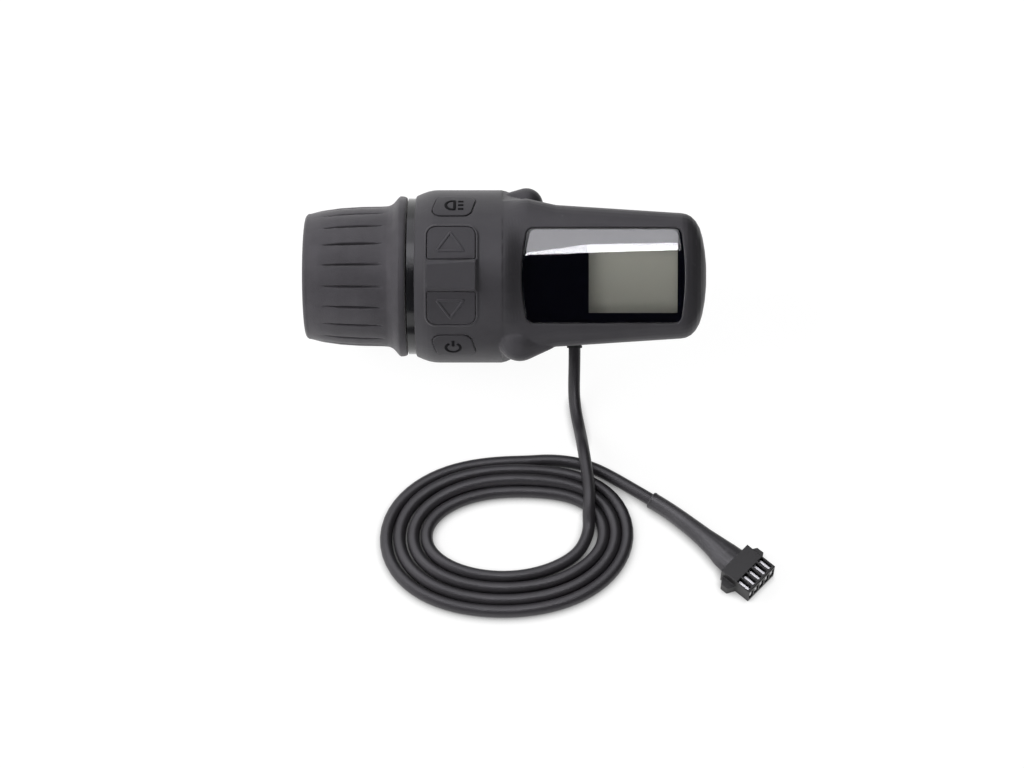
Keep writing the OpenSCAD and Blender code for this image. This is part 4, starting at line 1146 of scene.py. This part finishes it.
@dataclass
class Keys(SubAssembly):
    """The four keys with their moulded caps and signs, in millimetres and degrees round the barrel."""

    mid_x: float = -24.9
    lamp_x: float = -23.8
    power_x: float = -24.2
    arrow_angle: float = 22.2
    lamp_angle: float = 52.6
    power_angle: float = -53.0
    cap_voxel: float = 0.15
    cap_rounds: int = 1

    def build(self) -> None:
        """Makes the caps and signs."""
        for node in ("lamp_key", "up_key", "down_key", "power_key"):
            Moulding(self.finishes, node, "key", self.cap_voxel, self.cap_rounds).build()
        lamp = [
            arc_points((-0.5, 0.0), (2.2, 2.3), 90, 270, 18) + [(0.1, -2.3), (0.1, 2.3), (-0.5, 2.3)],
            [(1.2, 2.0), (2.9, 2.0)],
            [(1.2, 0.0), (2.9, 0.0)],
            [(1.2, -2.0), (2.9, -2.0)],
        ]
        power = [arc_points((0.0, -0.5), (2.3, 2.4), 125, 415, 30), [(0.0, 0.4), (0.0, 3.0)]]
        up = [[(-4.2, -3.1), (0.0, 3.1), (4.2, -3.1), (-4.2, -3.1)]]
        down = [[(-4.2, 3.0), (0.0, -3.0), (4.2, 3.0), (-4.2, 3.0)]]
        for sign in (
            ("lamp_sign", Body.LAMP, lamp, self.lamp_angle, self.lamp_x, SignStroke.PRINTED),
            ("power_sign", Body.POWER, power, self.power_angle, self.power_x, SignStroke.PRINTED),
            ("up_sign", Body.UP, up, self.arrow_angle, self.mid_x, SignStroke.EMBOSSED),
            ("down_sign", Body.DOWN, down, -self.arrow_angle, self.mid_x, SignStroke.EMBOSSED),
        ):
            KeySign(self.finishes, *sign).build()


@dataclass
class DisplayWindow(SubAssembly):
    """Lens and the black printed border behind it with its clear window, in millimetres."""

    left_x: float = -1.0
    right_x: float = 48.3
    half_v: float = 15.1
    corner_r: float = 2.4
    left_bulge: float = 1.4
    right_bulge: float = 0.9
    crown_r: float = 70.0
    face_n: float = 24.6
    thickness: float = 1.8
    edge_round: float = 0.4
    edge_start: float = 0.1
    window_left: float = 18.8
    window_right: float = 46.9
    window_low: float = -11.7
    window_high: float = 9.2
    print_t: float = 0.06
    print_share: float = 0.8
    side_points: int = 21
    corner_steps: int = 10
    edge_steps: int = 6
    face_rings: int = 14
    ring_ends: Pair = (0.04, 0.96)
    print_rows: int = 60
    print_columns: int = 100

    def build(self) -> None:
        """Makes the clear lens and the print behind it."""
        lens = self._cover()
        self.place(lens, Body.HOUSING, "lens", self.finishes.lens_clear)
        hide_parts("display_lens")
        self.place(self._print(), Body.HOUSING, "lens")

    def _outline(self) -> list[Pair]:
        """Gives the outline of the lens, its left and right sides bowed out."""
        left, right, half, c = self.left_x, self.right_x, self.half_v, self.corner_r
        shares = np.linspace(-1, 1, self.side_points)[1:-1]
        ends = [(right - c, half - c), (left + c, half - c), (left + c, c - half), (right - c, c - half)]
        corners = [arc_points(ends[k], (c, c), 90 * k, 90 * (k + 1), self.corner_steps) for k in range(4)]
        line = [(right + self.right_bulge * (1 - s * s), s * (half - c)) for s in shares]
        line += corners[0] + corners[1]
        line += [(left - self.left_bulge * (1 - s * s), s * (half - c)) for s in shares[::-1]]
        return line + corners[2] + corners[3]

    def _height(self, v: float, face: float) -> float:
        """Gives the height of the crowned face at a place across it."""
        return face - self.crown_r + math.sqrt(self.crown_r**2 - v * v)

    def _cover(self) -> Piece:
        """Makes the lens: a crowned slab with a rounded top edge."""
        outline = self._outline()
        count = len(outline)
        cx = sum(x for x, _ in outline) / count
        cv = sum(v for _, v in outline) / count
        depth = self.thickness - self.print_t
        half = min(self.half_v, (self.right_x - self.left_x) / 2)
        shares = np.linspace(*self.ring_ends, self.face_rings)
        layers = [(s, 0.0) for s in shares]
        for a in np.linspace(self.edge_start, math.pi / 2, self.edge_steps):
            inward, drop = self.edge_round * (1 - math.sin(a)), self.edge_round * (1 - math.cos(a))
            layers.append((1 - inward / half, drop))
        layers += [(1.0, depth)] + [(s, depth) for s in shares[::-1]]
        points: list[Vector] = []
        for share, drop in layers:
            for x, v in outline:
                px, pv = cx + (x - cx) * share, cv + (v - cv) * share
                points.append(from_unit(px, pv, self._height(pv, self.face_n) - drop))
        return new_mesh("lens_cover", points, tube_faces(len(layers), count))

    def _print(self) -> Piece:
        """Makes the black print behind the lens, with the window left clear in it."""
        columns = np.linspace(*self._edges_at(0.0), self.print_columns)
        rows = np.linspace(-self.half_v, self.half_v, self.print_rows)
        xs = sorted(set(columns) | {self.window_left, self.window_right})
        vs = sorted(set(rows) | {self.window_low, self.window_high})
        face = self.face_n - self.thickness + self.print_t
        points: list[Vector] = []
        for x in xs:
            for v in vs:
                left, right = self._edges_at(v)
                points.append(from_unit(max(left, min(right, x)), v, self._height(v, face)))
        faces: list[Face] = []
        for i in range(len(xs) - 1):
            for j in range(len(vs) - 1):
                mx, mv = (xs[i] + xs[i + 1]) / 2, (vs[j] + vs[j + 1]) / 2
                if self.window_left < mx < self.window_right and self.window_low < mv < self.window_high:
                    continue
                k = i * len(vs) + j
                face_points = (k, k + len(vs), k + len(vs) + 1, k + 1)
                low, after_low, after_high, high = (points[corner] for corner in face_points)
                if min((after_low - low).length, (high - after_high).length) > TINY:
                    faces.append(face_points)
        piece = new_mesh("lens_border_print", points, faces, False)
        shell = piece.modifiers.new("thickness", "SOLIDIFY")
        shell.thickness = self.print_t * self.print_share * MM
        shell.offset = 0.0
        return piece

    def _edges_at(self, v: float) -> Pair:
        """Gives the lens's left and right edge at a place across the face."""
        inner = self.half_v - self.corner_r
        over = abs(v) - inner
        if over > 0:
            back = self.corner_r - math.sqrt(max(0.0, self.corner_r**2 - over**2))
            return self.left_x + back, self.right_x - back
        bow = 1 - (v / inner) ** 2
        return self.left_x - self.left_bulge * bow, self.right_x + self.right_bulge * bow


class Case(SubAssembly):
    """Housing, clamp, cover and the other carried-over pieces.

    A moulded piece is its node, its slot, its voxel in millimetres and its rounds of softening.
    """

    moulded = (
        ("front_housing", "case", 0.26, 3), ("rear_clamp", "case_back", 0.3, 3),
        ("display_cover", "case_back", 0.3, 4), ("connector_housing", "connector", 0.12, 2),
    )
    plain = {
        "gloss_ring": ("neck_ring",),
        "screws": ("neck_screws", "board_screws", "cover_screws", "clamp_screws"),
        "bush": ("bearing_bush",),
        "inner_plastic": ("bar_sleeve", "switch_carrier", "lcd_frame", "throttle_tube"),
        "spring_steel": ("return_spring",),
        "circuit_board": ("hall_board", "switch_board", "main_board"),
        "chip": ("hall_sensor", "switch_bodies", "board_chips"),
        "gasket": ("lens_gasket",),
        "lcd": ("lcd_panel",),
        "backlight": ("backlight",),
        "insert": ("clamp_inserts",),
        "gland": ("cable_gland",),
        "terminals": ("connector_pins",),
        "magnet": ("sensor_magnet",),
        "plunger": ("lamp_plunger", "up_plunger", "down_plunger", "power_plunger"),
    }

    def build(self) -> None:
        """Rounds the moulded pieces and dresses the rest."""
        for moulding in self.moulded:
            Moulding(self.finishes, *moulding).build()
        for slot, nodes in self.plain.items():
            for node in nodes:
                self.finishes.dress(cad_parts[node], slot)
                LOG.info("%s is dressed as %s", node, slot)


def main() -> None:
    """Builds the camera and cable first, then the pieces."""
    logging.basicConfig(level=logging.INFO, format="%(message)s")
    bpy.context.scene.view_settings.view_transform = "Standard"
    PhotoCamera().build()
    finishes = Finishes()
    cable_maker = SignalCable(finishes)
    cable, length = cable_maker.build()
    sleeve = ShrinkSleeve(finishes).build()
    carried = [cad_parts[node] for node in ("connector_housing", "connector_pins", "cable_gland")]
    cable_maker.declare(cable, length, [sleeve, *carried])
    Studio().build()
    for part in (Case, Grip, Keys, DisplayWindow):
        part(finishes).build()


if __name__ == "__main__":
    main()
